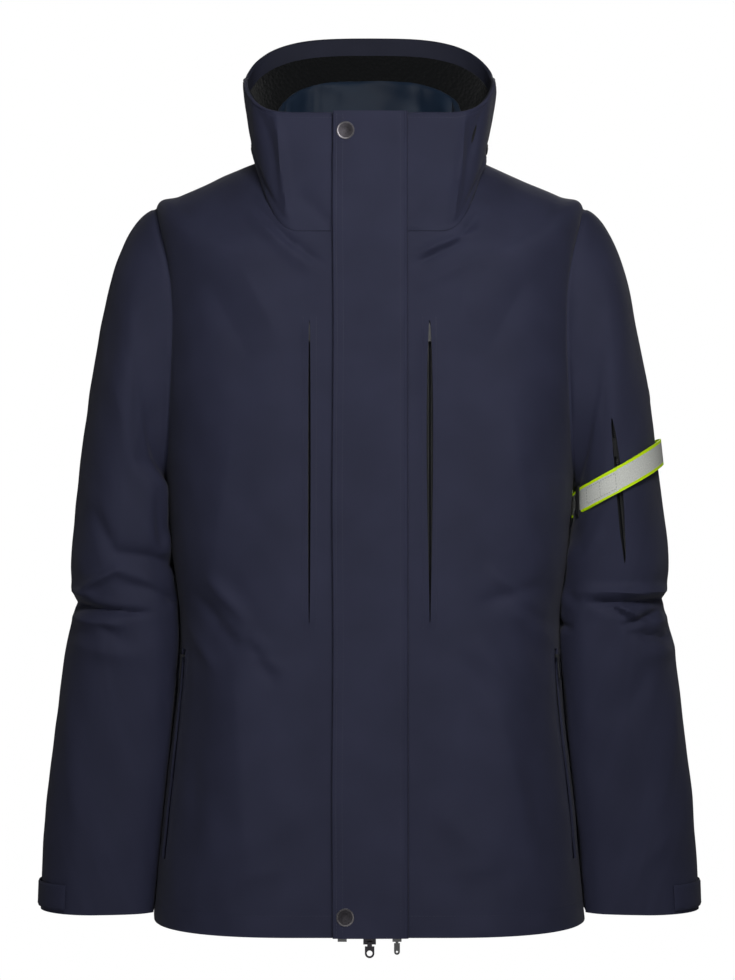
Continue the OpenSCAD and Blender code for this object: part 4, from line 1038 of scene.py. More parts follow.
# %% Build one sleeve
def sleeve(name, side, folds, slit):
    s = np.concatenate(
        [
            [0, 0.04, 0.1],
            np.linspace(0.18, 5, 82),
            np.linspace(5, 6, 14)[1:],
            np.linspace(6, 8, 40)[1:],
            np.linspace(8, CUFF, 58)[1:],
        ]
    )
    f = np.arange(0, 360, 3.75)
    f = np.tile(f, (len(s), 1))
    slits = []
    if slit:
        rows = [row_near(s, slit_top_s), row_near(s, slit_low_s)]
        drop = (s - slit_top_s) / (slit_low_s - slit_top_s)
        bow = np.sin(np.pi * np.clip(drop, 0, 1) ** 0.85) ** 0.75
        f[:, 24], f[:, 25] = 90 - 0.5 - 3.6 * bow, 90 + 0.5 + 3.6 * bow
        f[:, 23], f[:, 26] = 84.6, 95.4
        slits = [(rows[0], rows[1], 24, 25)]
    points = np.stack([arm_grid([s[r]], f[r])[0] for r in range(len(s))])
    out = np.stack([arm_out([s[r]], f[r])[0] for r in range(len(s))])
    hug = (BAND_HUG_MOST, BAND_HUG_START) if slit else (HUG_MOST, HUG_START)
    points = hug_body(points, out, *hug)
    around = np.where(f > 300, f - 360, f)
    drop = -points[..., 2]
    height = fold_height(around, drop, folds) + fold_height(around - 360, drop, folds) * (f > 300)
    # Pressed folds are deepest in front, and shallow over the outside of the arm
    height = np.clip(ELBOW_GAIN * height, -ELBOW_MOST, ELBOW_MOST) * (
        0.27 + 0.73 * soft_step((np.abs(around) - 12) / 30)
    )
    height += 0.8 * unevenness(points, 90, 21 + side) + 0.3 * unevenness(points, 34, 5 + side)
    # Seams down the front and the back of the sleeve, and a doubled cuff
    for seam in (98, 262):
        height -= 0.55 * np.exp(-(((around - seam) / 2.4) ** 2)) * soft_step((drop - 130) / 40)
    cuff_line = np.linalg.norm(np.diff(points, axis=0), axis=-1)[::-1].cumsum(0)[::-1]
    cuff_line = np.concatenate([cuff_line, 0 * cuff_line[:1]])
    height -= 0.5 * np.exp(-(((cuff_line - 30) / 1.6) ** 2))
    top_line = np.linalg.norm(np.diff(points, axis=0), axis=-1).cumsum(0)
    top_line = np.concatenate([0 * top_line[:1], top_line])
    height *= soft_step(top_line / 12) * (0.4 + 0.6 * soft_step((cuff_line - 34) / 30))
    if slit:
        # The cloth lies flat under the arm band
        band_drop = 289 - 27 * np.cos(np.radians(f))
        height *= 1 - 0.8 * np.exp(-(((drop - band_drop) / 17) ** 4))
    height -= 0.35 * np.exp(-((top_line / 3.5) ** 2)) * soft_step(top_line / 1.5)
    # Wadding and the seam allowance lift the sleeve's head
    crown = 0.3 + 0.7 * np.clip(np.cos(np.radians(f)), 0, 1)
    height += 1.3 * crown * np.exp(-(((top_line - 6) / 14) ** 2)) * soft_step(top_line / 3)
    # The sleeve stays off the body, so folds on its inner face only go inwards
    facing_body = soft_step((-out[..., 0] - 0.25) / 0.4)
    height = np.where(height > 0, height * (1 - 0.75 * facing_body), height)
    outer, inner = raise_cloth(points, out, height)
    toward = np.zeros_like(points[0])
    toward[:, 1:] = (points[0].mean(0) - points[0])[:, 1:]
    inner[0] = outer[0] + unit(toward) * SHELL_T
    # A seam allowance: one more ring, which lies under the edge of the body
    turn = np.radians(f[0])
    v, a = 5.5 + 1.56 * np.cos(turn), 90 - 31.3 * np.sin(turn)
    under = skin(TORSO, v, a) - skin_out(TORSO, v, a) * 2.5
    outer = np.concatenate([under[None], outer])
    inner = np.concatenate([(under - skin_out(TORSO, v, a) * 0.8)[None], inner])
    slits = [(r0 + 1, r1 + 1, c0, c1) for r0, r1, c0, c1 in slits]
    piece = wall(name, outer, inner, ring=True, slits=slits, flip=side < 0)
    settle(piece, None, "shell_fabric", navy_nylon)
    return piece


for side, label, folds in ((-1, "right", RIGHT_ELBOW), (1, "left", LEFT_ELBOW)):
    made = sleeve(f"sleeve_{label}_cloth", side, folds, side > 0)
    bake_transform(made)
    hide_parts(f"sleeve_{label}_upper", f"sleeve_{label}_elbow", f"sleeve_{label}_lower")

# %% [markdown]
# ## The storm flap
# The flap is a doubled strip of shell cloth that covers the main zip. It is sewn down
# along one side, where it rolls on a thick seam, and its free side is held by two
# snaps. It swings on its own body, so it is a piece of its own. Its free edge is a
# fold, so it is round and a little wavy, and two rows of stitches run beside it.

# %% The flat frame of the front: across, inwards and up from the hem
FRONT_TURN = Matrix.Translation((0, -FRONT_DEPTH, -BODY_DROP)) @ Matrix.Rotation(-FRONT_LEAN, 4, "X")
FRONT_TURN = np.array(FRONT_TURN)


def on_front(points):
    return np.asarray(points, float) @ FRONT_TURN[:3, :3].T + FRONT_TURN[:3, 3]


SEAM_X, FLAP_W, FLAP_T, BEAD = 34, 72, 2, 2.8
FLAP_Y = -5.9
SNAP_X, SNAP_Z = SEAM_X - FLAP_W + 15, (20, FRONT_LEN - 19)


# %% Build the flap: once round its section, from the root and back to it
def section(x0, x1, y0, y1, steps, turns=5):
    """A long rounded outline of cloth from x0 to x1, y0 outside: points and which face."""
    r = (y1 - y0) / 2
    across = np.linspace(x1, x0 + r, steps)
    front = [(x, y0) for x in across]
    turn = np.linspace(0, math.pi, turns + 2)[1:-1]
    round_end = [(x0 + r - r * math.sin(t), (y0 + y1) / 2 - r * math.cos(t)) for t in turn]
    behind = [(x, y1) for x in across[::-1]]
    return np.array(front + round_end + behind)


def strip_piece(name, outline, ups, shift=None, flip=False):
    """A closed strip: an outline in (across, inwards) carried up the front line."""
    rows = np.array([[(x, y, u) for x, y in outline] for u in ups], float)
    if shift is not None:
        rows = rows + shift(rows)
    points = on_front(rows)
    middle = (rows.max(1, keepdims=True) + rows.min(1, keepdims=True)) / 2
    return closed_tube(name, points, on_front(middle), flip)


def closed_tube(name, points, middles, flip=False, round_ends=True):
    """A tube through rings of points, closed at both ends by pulling in to a line."""
    if round_ends:
        first = middles[0] + (points[0] - middles[0]) * 0.985
        last = middles[-1] + (points[-1] - middles[-1]) * 0.985
        points = np.concatenate([first[None], points, last[None]])
    rows, cols = points.shape[:2]
    faces = []
    for r in range(rows - 1):
        for c in range(cols):
            k = (c + 1) % cols
            faces.append((r * cols + c, r * cols + k, (r + 1) * cols + k, (r + 1) * cols + c))
    faces.append(tuple(range(cols))[::-1])
    faces.append(tuple(range((rows - 1) * cols, rows * cols)))
    mesh = bpy.data.meshes.new(name)
    mesh.from_pydata((points.reshape(-1, 3) * MM).tolist(), [], faces)
    around = np.linalg.norm(points - np.roll(points, 1, 1), axis=-1)
    around[:, 0] = 0
    along = np.linalg.norm(np.diff(points, axis=0), axis=-1).mean(1)
    place = np.stack(
        [
            np.cumsum(around, 1),
            np.repeat(np.concatenate([[0], np.cumsum(along)])[:, None], cols, 1),
        ],
        -1,
    )
    corner = np.zeros(len(mesh.loops), int)
    mesh.loops.foreach_get("vertex_index", corner)
    layer = mesh.uv_layers.new(name="cloth")
    layer.data.foreach_set("uv", (place.reshape(-1, 2) * MM)[corner].ravel())
    fix = bmesh.new()
    fix.from_mesh(mesh)
    bmesh.ops.recalc_face_normals(fix, faces=fix.faces)
    fix.to_mesh(mesh)
    fix.free()
    return place_piece(name, mesh)


flap_ups = np.linspace(0, FRONT_LEN, 200)
outline = section(SEAM_X + BEAD - FLAP_W, SEAM_X - 1, FLAP_Y, FLAP_Y + FLAP_T, 26)
bead_turn = np.radians(np.linspace(205, 515, 15))
bead = [(SEAM_X + BEAD * math.cos(t), -3.1 + BEAD * math.sin(t)) for t in bead_turn]
outline = np.concatenate([bead, outline])[::-1]


def flap_waves(rows):
    """The free edge lifts and drops a little; the rows of stitches pull it in."""
    x, up = rows[..., 0], rows[..., 2]
    free = soft_step((SEAM_X - 12 - x) / 50)
    wave = np.sin(up / 61 + 1.3) + 0.7 * np.sin(up / 27.0 + 0.4) + 0.5 * np.sin(up / 118)
    held = 1 - np.exp(-(((up - SNAP_Z[0]) / 22) ** 2)) - np.exp(-(((up - SNAP_Z[1]) / 22) ** 2))
    shift = np.zeros_like(rows)
    shift[..., 1] = -0.45 * free * held * (wave + 1.2)
    collar_pull = np.exp(-(((up - 676) / 16) ** 2)) * 1.1 - np.exp(-(((up - 652) / 12) ** 2)) * 0.9
    shift[..., 1] -= collar_pull * soft_step((x + 40) / 10) * soft_step((30 - x) / 16) * 0.8
    crown = np.sin(np.pi * np.clip((x + 34) / 66, 0, 1))
    shift[..., 1] -= 0.5 * crown
    shift[..., 0] = 0.5 * free * np.sin(up / 47 + 2) * held
    for line in (-31.4, -25.5, 29.5):
        shift[..., 1] += 0.28 * np.exp(-(((x - line) / 1.1) ** 2)) * (rows[..., 1] < FLAP_Y + 0.5)
    return shift


flap = strip_piece("storm_flap_cloth", outline, flap_ups, flap_waves)
settle(flap, "storm_flap_body", "shell_fabric", navy_nylon, "storm_flap")


# %% [markdown]
# ## Stitches
# A row of lockstitches is many short stitches of thick thread, each a small sunken
# bead. One bead is modelled as a tiny six-sided spindle and copied along a line with
# numpy, because thousands of separate objects would be slow.

# %% Thread
# Bonded polyester sewing thread: navy like the cloth, slightly glossy filament
navy_thread, tree, shader = finish("bonded_thread_navy", Roughness=0.45, Specular_IOR_Level=0.35)
where = node(tree, "ShaderNodeTexCoord")
twist = node(tree, "ShaderNodeTexNoise", {"Vector": (where, "Object"), "Scale": 1800.0})
tone = node(tree, "ShaderNodeValToRGB", {"Fac": (twist, "Fac")})
tone.color_ramp.elements[0].color, tone.color_ramp.elements[1].color = linear("#202236"), linear("#34384e")
plug(tree, shader, Base_Color=(tone, "Color"))


def spindle():
    """One stitch along X, 1 long: rings of six points that swell in the middle."""
    rings = [(-0.5, 0.35), (-0.3, 0.9), (0, 1.0), (0.3, 0.9), (0.5, 0.35)]
    points = [(x, r * math.cos(t), r * math.sin(t)) for x, r in rings for t in np.arange(6) * math.pi / 3]
    faces = [
        (6 * i + j, 6 * i + (j + 1) % 6, 6 * i + 6 + (j + 1) % 6, 6 * i + 6 + j)
        for i in range(4)
        for j in range(6)
    ]
    return np.array(points), [f[::-1] for f in faces] + [(0, 1, 2, 3, 4, 5), (29, 28, 27, 26, 25, 24)]


STITCH = spindle()


def copies(name, shape, frames):
    """One mesh of a shape copied into many frames: (place, x axis, y axis, z axis)."""
    points, faces = shape
    place, ax, ay, az = [np.array(part, float) for part in zip(*frames)]
    every = place[:, None] + points[
        None, :, 0:1
    ] * ax[:, None] + points[None, :, 1:2] * ay[:, None] + points[None, :, 2:3] * az[:, None]
    n = len(points)
    all_faces = [tuple(i + n * k for i in face) for k in range(len(frames)) for face in faces]
    mesh = bpy.data.meshes.new(name)
    mesh.from_pydata((every.reshape(-1, 3) * MM).tolist(), [], all_faces)
    return place_piece(name, mesh)


def along_path(path, spacing):
    """Points evenly spaced on a path, with the direction at each."""
    path = np.asarray(path, float)
    steps = np.linalg.norm(np.diff(path, axis=0), axis=1)
    far = np.concatenate([[0], np.cumsum(steps)])
    at_far = np.arange(spacing / 2, far[-1], spacing)
    points = np.stack([np.interp(at_far, far, path[:, k]) for k in range(3)], 1)
    ahead = np.stack(
        [
            np.interp(at_far + 0.5, far, path[:, k]) - np.interp(at_far - 0.5, far, path[:, k])
            for k in range(3)
        ],
        1,
    )
    return points, unit(ahead)


def stitches(lines, spacing=3.2, length=2.5, thick=0.24):
    """Frames of stitches on lines, each (path, direction out of the cloth)."""
    frames = []
    for path, out in lines:
        points, ahead = along_path(path, spacing)
        out = np.asarray(out, float)
        if out.ndim == 2:
            far = np.linspace(0, 1, len(out))
            out = np.stack([np.interp(np.linspace(0, 1, len(points)), far, out[:, k]) for k in range(3)], 1)
        out = unit(np.broadcast_to(out, points.shape))
        side = unit(np.cross(out, ahead))
        for p, a, s, o in zip(points, ahead, side, out):
            frames.append((p, a * length, s * thick, o * thick))
    return frames


def flap_line(x, ups):
    rows = np.array([[(x, FLAP_Y, u)] for u in ups], float)
    moved = rows + flap_waves(rows)
    return on_front(moved[:, 0] + np.array([0, -0.02, 0]))


OUT_FRONT = FRONT_TURN[:3, :3] @ np.array([0, -1.0, 0])
flap_rows = [(flap_line(x, np.linspace(2, FRONT_LEN - 2, 200)), OUT_FRONT) for x in (-31.4, -25.5, 29.5)]
flap_stitches = copies("storm_flap_stitches", STITCH, stitches(flap_rows))
settle(flap_stitches, "storm_flap_body", "shell_fabric", navy_thread)

# %% Stitches of the shell: hem, side seams, slits and collar rim
def grid_line(grid, rows, cols, lift=0.02):
    """A path through a grid of outside points, and the way out at each of them."""
    path = np.array([grid[r, c] for r, c in zip(rows, cols)])
    out = []
    for r, c in zip(rows, cols):
        r1, c1 = min(r + 1, grid.shape[0] - 1), min(c + 1, grid.shape[1] - 1)
        across = grid[r, c1] - grid[r, c1 - 1]
        up_way = grid[r1, c] - grid[r1 - 1, c]
        out.append(np.cross(across, up_way))
    out = unit(np.array(out))
    return path + out * lift, out


def mirrored(line):
    return line[0] * (-1, 1, 1), line[1] * (-1, 1, 1)


hem_row = int(np.argmin(np.abs(front_z + BODY_DROP - 22)))
top_row = len(ROWS) - 3
shell_lines = []
for grid, flip in ((left_grid, False), (right_grid, True)):
    rows_up = np.arange(3, top_row)
    found = [grid_line(grid, [hem_row] * grid.shape[1], range(grid.shape[1]))]
    found.append(grid_line(grid, rows_up, [grid.shape[1] - 3] * len(rows_up)))
    chest_up = np.arange(chest_rows[0] - 1, chest_rows[1] + 2)
    found += [grid_line(grid, chest_up, [c] * len(chest_up)) for c in (SLIT_C - 2, SLIT_C + 3)]
    hand_up = np.arange(hand_rows[0] - 1, hand_rows[1] + 2)
    found += [grid_line(grid, hand_up, [c] * len(hand_up)) for c in (HAND_C - 2, HAND_C + 3)]
    shell_lines += [mirrored(line) for line in found] if flip else found
cols = back_outer.shape[1]
shell_lines.append(grid_line(back_outer, [hem_row] * cols, range(cols)))
rim_row = 36
shell_lines.append(grid_line(outside, [rim_row] * outside.shape[1], range(outside.shape[1])))
shell_stitches = copies("shell_stitches", STITCH, stitches(shell_lines, spacing=3.4, length=2.6, thick=0.22))
settle(shell_stitches, "root", "shell_fabric", navy_thread)

# %% [markdown]
# ## The padded liner
# Under the shell hangs a padded gilet: two layers of thin taffeta quilted together
# over a wadding, with a low collar. Quilting holds the layers at the stitch lines and
# the wadding pushes them apart between. That is what a cloth simulation with inner
# pressure does, so each part starts as a thin closed pad whose stitch lines are
# pinned, is blown up for a few frames, and keeps the shape it ends in.


# %% Blow up a quilted pad
def quilt(name, outer, inner, pinned, flip=False, pressure=2.2, most=4.5):
    """A closed pad between two grids, pinned where the mask says, then inflated."""
    piece = wall(name, outer, inner, flip=flip)
    rest = np.array([v.co for v in piece.data.vertices])
    held = np.concatenate([pinned.ravel(), pinned.ravel()])
    group = piece.vertex_groups.new(name="stitch_lines")
    group.add([int(i) for i in np.nonzero(held)[0]], 1.0, "REPLACE")
    piece.modifiers.new("wadding", "CLOTH")
    settings = piece.modifiers["wadding"].settings
    settings.quality = 4
    settings.mass = 0.08
    settings.tension_stiffness = settings.compression_stiffness = 8
    settings.bending_stiffness = 0.15
    settings.vertex_group_mass = "stitch_lines"
    settings.use_pressure = True
    settings.uniform_pressure_force = pressure
    settings.effector_weights.gravity = 0
    scene = bpy.context.scene
    for frame_number in range(1, 15):
        scene.frame_set(frame_number)
    shown = piece.evaluated_get(bpy.context.evaluated_depsgraph_get())
    moved = np.array([v.co for v in shown.data.vertices]) - rest
    length = np.linalg.norm(moved, axis=1, keepdims=True)
    moved *= np.minimum(1, most * MM / np.maximum(length, 1e-9))
    piece.modifiers.remove(piece.modifiers["wadding"])
    scene.frame_set(1)
    piece.data.vertices.foreach_set("co", (rest + moved).ravel())
    piece.data.update()
    print(f"{name}: the wadding moved the taffeta by up to {np.linalg.norm(moved, axis=1).max() / MM:.1f} mm")
    return piece


def lines_mask(shape, rows=(), cols=()):
    """True on the border of a grid and on the rows and columns of its stitch lines."""
    mask = np.zeros(shape, bool)
    mask[[0, -1]] = mask[:, [0, -1]] = True
    for r in rows:
        mask[r] = True
    for c in cols:
        mask[:, c] = True
    return mask


# %% Liner fronts, back and collar
LINER_Y, LINER_T, LINER_ZIP_X = 10.6, 8, 26
LINER_EDGE = LINER_ZIP_X + 5.8
liner_v = np.linspace(0.4, 9.6, 101)[:, None]
CHANNEL = 8
channels = range(CHANNEL, 101, CHANNEL)


def pad_faces(points, out, mask, thin=2.6, full=5.6):
    """The two faces of a pad in the middle of the liner's depth, thin at its stitches."""
    from_line = np.ones(mask.shape)
    from_line[mask] = 0
    near = from_line.copy()
    for _ in range(2):
        near = (
            near
            + np.roll(near, 1, 0)
            + np.roll(near, -1, 0)
            + np.roll(near, 1, 1)
            + np.roll(near, -1, 1)
        ) / 5
        near[mask] = 0
    thick = (thin + (full - thin) * near)[..., None]
    middle = points - out * (LINER_Y + LINER_T / 2)
    return middle + out * thick / 2, middle - out * thick / 2


def liner_front(name, side, node_name):
    end = 90 - 0.5 - 36 * hole(liner_v, 1.8)
    strip = np.linspace(LINER_EDGE - FLAT_HALF, -0.01, 7)[None] + 0 * liner_v
    angles = np.concatenate([strip, end * np.linspace(0.03, 1, 34)[None]], 1)
    points, out = skin(TORSO, liner_v, angles), skin_out(TORSO, liner_v, angles)
    mask = lines_mask(points.shape[:2], channels)
    piece = quilt(name, *pad_faces(points, out, mask), mask, flip=side < 0)
    settle(piece, "root", "liner_quilt", blue_taffeta, node_name)


liner_front("liner_front_right_pad", -1, "liner_front_right")
liner_front("liner_front_left_pad", 1, "liner_front_left")

share = np.linspace(-1, 1, 91)[None]
angles = mix(180, 90 + 0.5 + 36 * hole(liner_v, 1.8), np.abs(share))
side_sign = np.where(share < 0, 1, -1)[..., None] * np.array([1, 0, 0]) + np.array([0, 1, 1])
points, out = skin(TORSO, liner_v, angles) * side_sign, skin_out(TORSO, liner_v, angles) * side_sign
mask = lines_mask(points.shape[:2], channels)
liner_back = quilt("liner_back_pad", *pad_faces(points, out, mask), mask)
settle(liner_back, "root", "liner_quilt", blue_taffeta, "liner_back")

HALF_LINER = np.concatenate([np.linspace(LINER_EDGE - FLAT_HALF, -0.01, 8), np.arange(3.0, 180.1, 3.0)])
ROUND = np.concatenate([HALF_LINER, HALF_LINER[-2::-1]])[None]
ROUND_SIDE = np.concatenate([np.ones(len(HALF_LINER)), -np.ones(len(HALF_LINER) - 1)])[None]
FLIPS = ROUND_SIDE[..., None] * np.array([1, 0, 0]) + np.array([0, 1, 1])
up = np.linspace(0, 2, 30)[:, None]
points, out = collar_grid(LINER_COLLAR, up)
cols_round = ROUND.shape[1]
uprights = [int(cols_round * part) for part in (0.13, 0.24, 0.35, 0.44, 0.49, 0.57, 0.66, 0.77, 0.88)]
mask = lines_mask(points.shape[:2], (15,), uprights)
outer_pad, inner_pad = pad_faces(points, out, mask, 2.4, 6.4)
sway = (1.7 * unevenness(points, 44, 12) * soft_step(up - 0.6))[..., None]
liner_collar = quilt(
    "liner_collar_pad", outer_pad + out * sway, inner_pad + out * sway, mask, pressure=6.0, most=5.0
)
settle(liner_collar, "root", "liner_quilt", blue_taffeta, "liner_collar")

# %% [markdown]
# ## Facings, the inner flap and the pocket bags
# Flat doubled strips of cloth with round edges do for the facings that the zips are
# sewn to and for the draught flap behind the main zip. The pocket bags are thin knit
# pouches that hang from the zips.

# %% Strips along the front
strip_ups = np.linspace(6, FRONT_LEN - 34, 120)


def soft_strip(name, x0, x1, y0, y1, ups, slot, material, body="root", nodes=(), steps=8):
    def slight(rows):
        shift = np.zeros_like(rows)
        inner_part = np.sin(np.pi * np.clip((rows[..., 0] - x0) / (x1 - x0), 0, 1))
        shift[..., 1] = 0.18 * inner_part * np.sin(rows[..., 2] / 23)
        return shift

    both_round = section(x0, (x0 + x1) / 2, y0, y1, steps)
    other = both_round * (-1, 1) + (x0 + x1, 0)
    piece = strip_piece(name, np.concatenate([both_round, other[::-1]]), ups, slight)
    return settle(piece, body, slot, material, *nodes)


soft_strip(
    "facing_left_cloth",
    12.5,
    20.5,
    2.6,
    5.2,
    strip_ups,
    "shell_fabric",
    navy_facing_painted_shade,
    nodes=["front_facings"],
)
soft_strip("facing_right_cloth", -20.5, -12.5, 2.6, 5.2, strip_ups, "shell_fabric", navy_facing_painted_shade)
INNER_Y = 2.7 + 1.4 + 0.3 + 1.6 + 0.3
soft_strip(
    "inner_flap_cloth",
    -16,
    14.5,
    INNER_Y,
    INNER_Y + 1.5,
    np.linspace(8, FRONT_LEN - 40, 120),
    "shell_fabric",
    navy_facing_painted_shade,
    nodes=["inner_flap"],
)


# %% A straight frame along a slanted zip, as the CAD has it
def zip_frame(a, b, out):
    """Axes at a: up towards b, across, and inwards, as columns with the place."""
    up_way = unit(b - a)
    across = unit(np.cross(up_way, out))
    return a, across, unit(np.cross(up_way, across)), up_way


def in_frame(frame_parts, points):
    a, across, inwards, up_way = frame_parts
    points = np.asarray(points, float)
    return a + points[..., 0:1] * across + points[..., 1:2] * inwards + points[..., 2:3] * up_way


middle_v = sum(hand_marks) / 2
hand_out = skin_out(TORSO, middle_v, HAND_ANGLE)
hand_low = skin(TORSO, hand_marks[0], HAND_ANGLE) - 1.1 * hand_out
hand_top = skin(TORSO, hand_marks[1], HAND_ANGLE) - 1.1 * hand_out
HAND = zip_frame(hand_low, hand_top, hand_out)
hand_len = np.linalg.norm(hand_top - hand_low)
CHEST = zip_frame(
    on_front((CHEST_X, 0, (BODY_DROP - CHEST_TOP - CHEST_LEN) / math.cos(FRONT_LEAN))),
    on_front((CHEST_X, 0, 900)),
    OUT_FRONT,
)
chest_len = CHEST_LEN / math.cos(FRONT_LEAN)
sleeve_low = arm_grid([slit_low_s], np.array([90.0]))[0, 0]
sleeve_top = arm_grid([slit_top_s], np.array([90.0]))[0, 0]
sleeve_out = arm_out([(slit_low_s + slit_top_s) / 2], np.array([90.0]))[0, 0]
sleeve_len = np.linalg.norm(sleeve_top - sleeve_low)
slit_side = np.cross(sleeve_top - sleeve_low, sleeve_out) / sleeve_len
sleeve_shift = -1.4 * sleeve_out + 0.9 * slit_side
SLEEVE = zip_frame(sleeve_low + sleeve_shift, sleeve_top + sleeve_shift, sleeve_out)
print("hand zip:", round(float(hand_len), 1), "mm; sleeve zip:", round(float(sleeve_len), 1), "mm")


def pouch(name, parts, x0, x1, z0, z1, side, node_name):
    """A thin pouch behind a zip, slack and a little uneven."""
    gap = 2.2 + 0.4 + 0.4 + 1.0 + 0.3 + 1.1 + 0.3
    xs, zs = np.linspace(x0, x1, 10), np.linspace(z0, z1, 60)
    grid_x, grid_z = np.meshgrid(xs, zs)
    belly = np.sin(np.pi * (grid_x - x0) / (x1 - x0)) ** 0.5
    belly *= np.clip(np.sin(np.pi * (grid_z - z0) / (z1 - z0)), 0, 1) ** 0.3
    ripple = 0.25 * np.sin(grid_z / 11 + grid_x / 7)
    near = in_frame(parts, np.stack([grid_x, gap + 0.6 - 0.5 * belly + 0 * ripple, grid_z], -1))
    far = in_frame(parts, np.stack([grid_x, gap + 0.9 + 0.7 * belly + ripple * belly, grid_z], -1))
    piece = wall(name, near, far, flip=side < 0)
    settle(piece, "root", "pocket_lining", knit_mesh, node_name)


for side, label in ((-1, "right"), (1, "left")):
    pouch(f"chest_bag_{label}_knit", CHEST, -11, 7.5, -20, chest_len + 8, side, f"chest_bag_{label}")
    pouch(f"hand_bag_{label}_knit", HAND, -20, 8, -14, hand_len + 6, side, f"hand_bag_{label}")
pouch("sleeve_bag_knit", SLEEVE, -10, 10, -2, sleeve_len, 1, "sleeve_bag")

# %% [markdown]
# ## Zips
# A zip is two woven tapes with a row of teeth each. One tooth is modelled by hand:
# a cube is added, its edges are bevelled and its nose is inset and drawn out. Its
# mesh is then copied along the tape hundreds of times in one piece, so it keeps to a
# few dozen faces.


# %% Small tools for modelling by operators
def begin(add, **settings):
    """Adds a primitive alone and goes into edit mode with nothing selected."""
    if bpy.context.object and bpy.context.object.mode != "OBJECT":
        bpy.ops.object.mode_set(mode="OBJECT")
    bpy.ops.object.select_all(action="DESELECT")
    add(**settings)
    bpy.ops.object.mode_set(mode="EDIT")
    bpy.ops.mesh.select_all(action="DESELECT")
    bpy.ops.mesh.select_mode(type="FACE")
    return bpy.context.object


def pick(made, wanted):
    """Selects only the faces whose centre and normal pass the test."""
    bpy.ops.mesh.select_all(action="DESELECT")
    shape = bmesh.from_edit_mesh(made.data)
    for face in shape.faces:
        if wanted(face.calc_center_median(), face.normal):
            face.select_set(True)
    shape.select_flush_mode()
    bmesh.update_edit_mesh(made.data)


def end_edit(made, bevel_width=0, bevel_angle=30, segments=2):
    bpy.ops.object.mode_set(mode="OBJECT")
    if bevel_width:
        bevel = made.modifiers.new("soft_edges", "BEVEL")
        bevel.width, bevel.segments = bevel_width, segments
        bevel.limit_method, bevel.angle_limit = "ANGLE", math.radians(bevel_angle)
        bpy.ops.object.modifier_apply(modifier="soft_edges")
    bpy.ops.object.shade_smooth_by_angle(angle=math.radians(40))
    return made


def taken(made):
    """The points and faces of a model, in millimetres, and the model is removed."""
    points = np.array([v.co for v in made.data.vertices])
    faces = [tuple(face.vertices) for face in made.data.polygons]
    bpy.data.objects.remove(made)
    return points, faces


tooth = begin(bpy.ops.mesh.primitive_cube_add, size=1)
pick(tooth, lambda c, n: n.x < -0.9)
bpy.ops.mesh.inset(thickness=0.16)
bpy.ops.transform.translate(value=(-0.12, 0, 0))
pick(tooth, lambda c, n: n.x > 0.9)
bpy.ops.mesh.inset(thickness=0.1)
TOOTH = taken(end_edit(tooth, 0.09, 40, 1))
print("one tooth:", len(TOOTH[1]), "faces")


# %% Tapes and teeth of a straight zip
def zip_half(
    label,
    place,
    side,
    edge,
    teeth_w,
    teeth_t,
    tape,
    y,
    low,
    high,
    pitch,
    nodes=(),
    over=0,
    tape_y=None,
):
    """One tape with its teeth. place maps (across, inwards, up) to the frame."""
    tape_y = y if tape_y is None else tape_y
    ups = np.arange(low - over, high + over + 0.01, (high - low + 2 * over) / 90)
    x0, x1 = edge + teeth_w - 0.2, tape
    near = section(x0, (x0 + x1) / 2, tape_y - 0.4, tape_y + 0.4, 3, 3)
    outline = np.concatenate([near, (near * (-1, 1) + (x0 + x1, 0))[::-1]]) * (side, 1)
    rows = np.array([[(x, yy, u) for x, yy in outline] for u in ups], float)
    middle = (rows.max(1, keepdims=True) + rows.min(1, keepdims=True)) / 2
    band = closed_tube(f"zip_tape_{label}", place(rows), place(middle))
    settle(band, "root", "zip_chain", zip_tape, *nodes)
    phase = 0.5 if side > 0 else 0.0
    at_up = np.arange(low + pitch * (0.5 + phase), high - pitch * 0.4, pitch)
    spots = np.array([(side * (edge + teeth_w / 2), y, u) for u in at_up])
    here = place(spots)
    ax = place(spots + (side * 1.0, 0, 0)) - here
    ay = place(spots + (0, 1.0, 0)) - here
    az = place(spots + (0, 0, 1.0)) - here
    frames = [(p, a * teeth_w, b * teeth_t, c * pitch * 0.55) for p, a, b, c in zip(here, ax, ay, az)]
    teeth = copies(f"zip_teeth_{label}", TOOTH, frames)
    fix_normals(teeth)
    return settle(teeth, "root", "zip_chain", black_acetal)


def fix_normals(piece):
    """Turns faces outwards again after a shape was mirrored."""
    shape = bmesh.new()
    shape.from_mesh(piece.data)
    bmesh.ops.recalc_face_normals(shape, faces=shape.faces)
    shape.to_mesh(piece.data)
    shape.free()


MAIN_Y = SHELL_T + 0.5
for side, label in ((-1, "right"), (1, "left")):
    zip_half(
        f"main_{label}",
        on_front,
        side,
        0.6,
        2.6,
        2.8,
        12,
        MAIN_Y,
        0,
        FRONT_LEN - 6,
        3.0,
        [f"main_zip_{label}"],
        tape_y=2.9,
    )

    def liner_place(points, side=side):
        points = np.asarray(points, float)
        return on_front(points * (1, 1, 1) + (side * LINER_ZIP_X, 0, 0))

    for half, half_label in ((-1, "shell"), (1, "liner")):
        nodes = [f"liner_zip_{label}"] if half < 0 else []
        zip_half(
            f"liner_{label}_{half_label}",
            liner_place,
            half,
            0.6,
            1.5,
            2.0,
            9,
            6,
            2,
            FRONT_LEN - 106,
            2.2,
            nodes,
        )
    soft_strip(
        f"liner_zip_stay_{label}",
        *sorted((side * (LINER_ZIP_X + 5.6), side * (LINER_ZIP_X + 8.8))),
        6.6,
        10.3,
        np.linspace(3, FRONT_LEN - 108, 90),
        "pocket_lining",
        knit_mesh,
        steps=3,
    )


def pocket_place(parts, side):
    return lambda points: in_frame(parts, points) * (side, 1, 1)


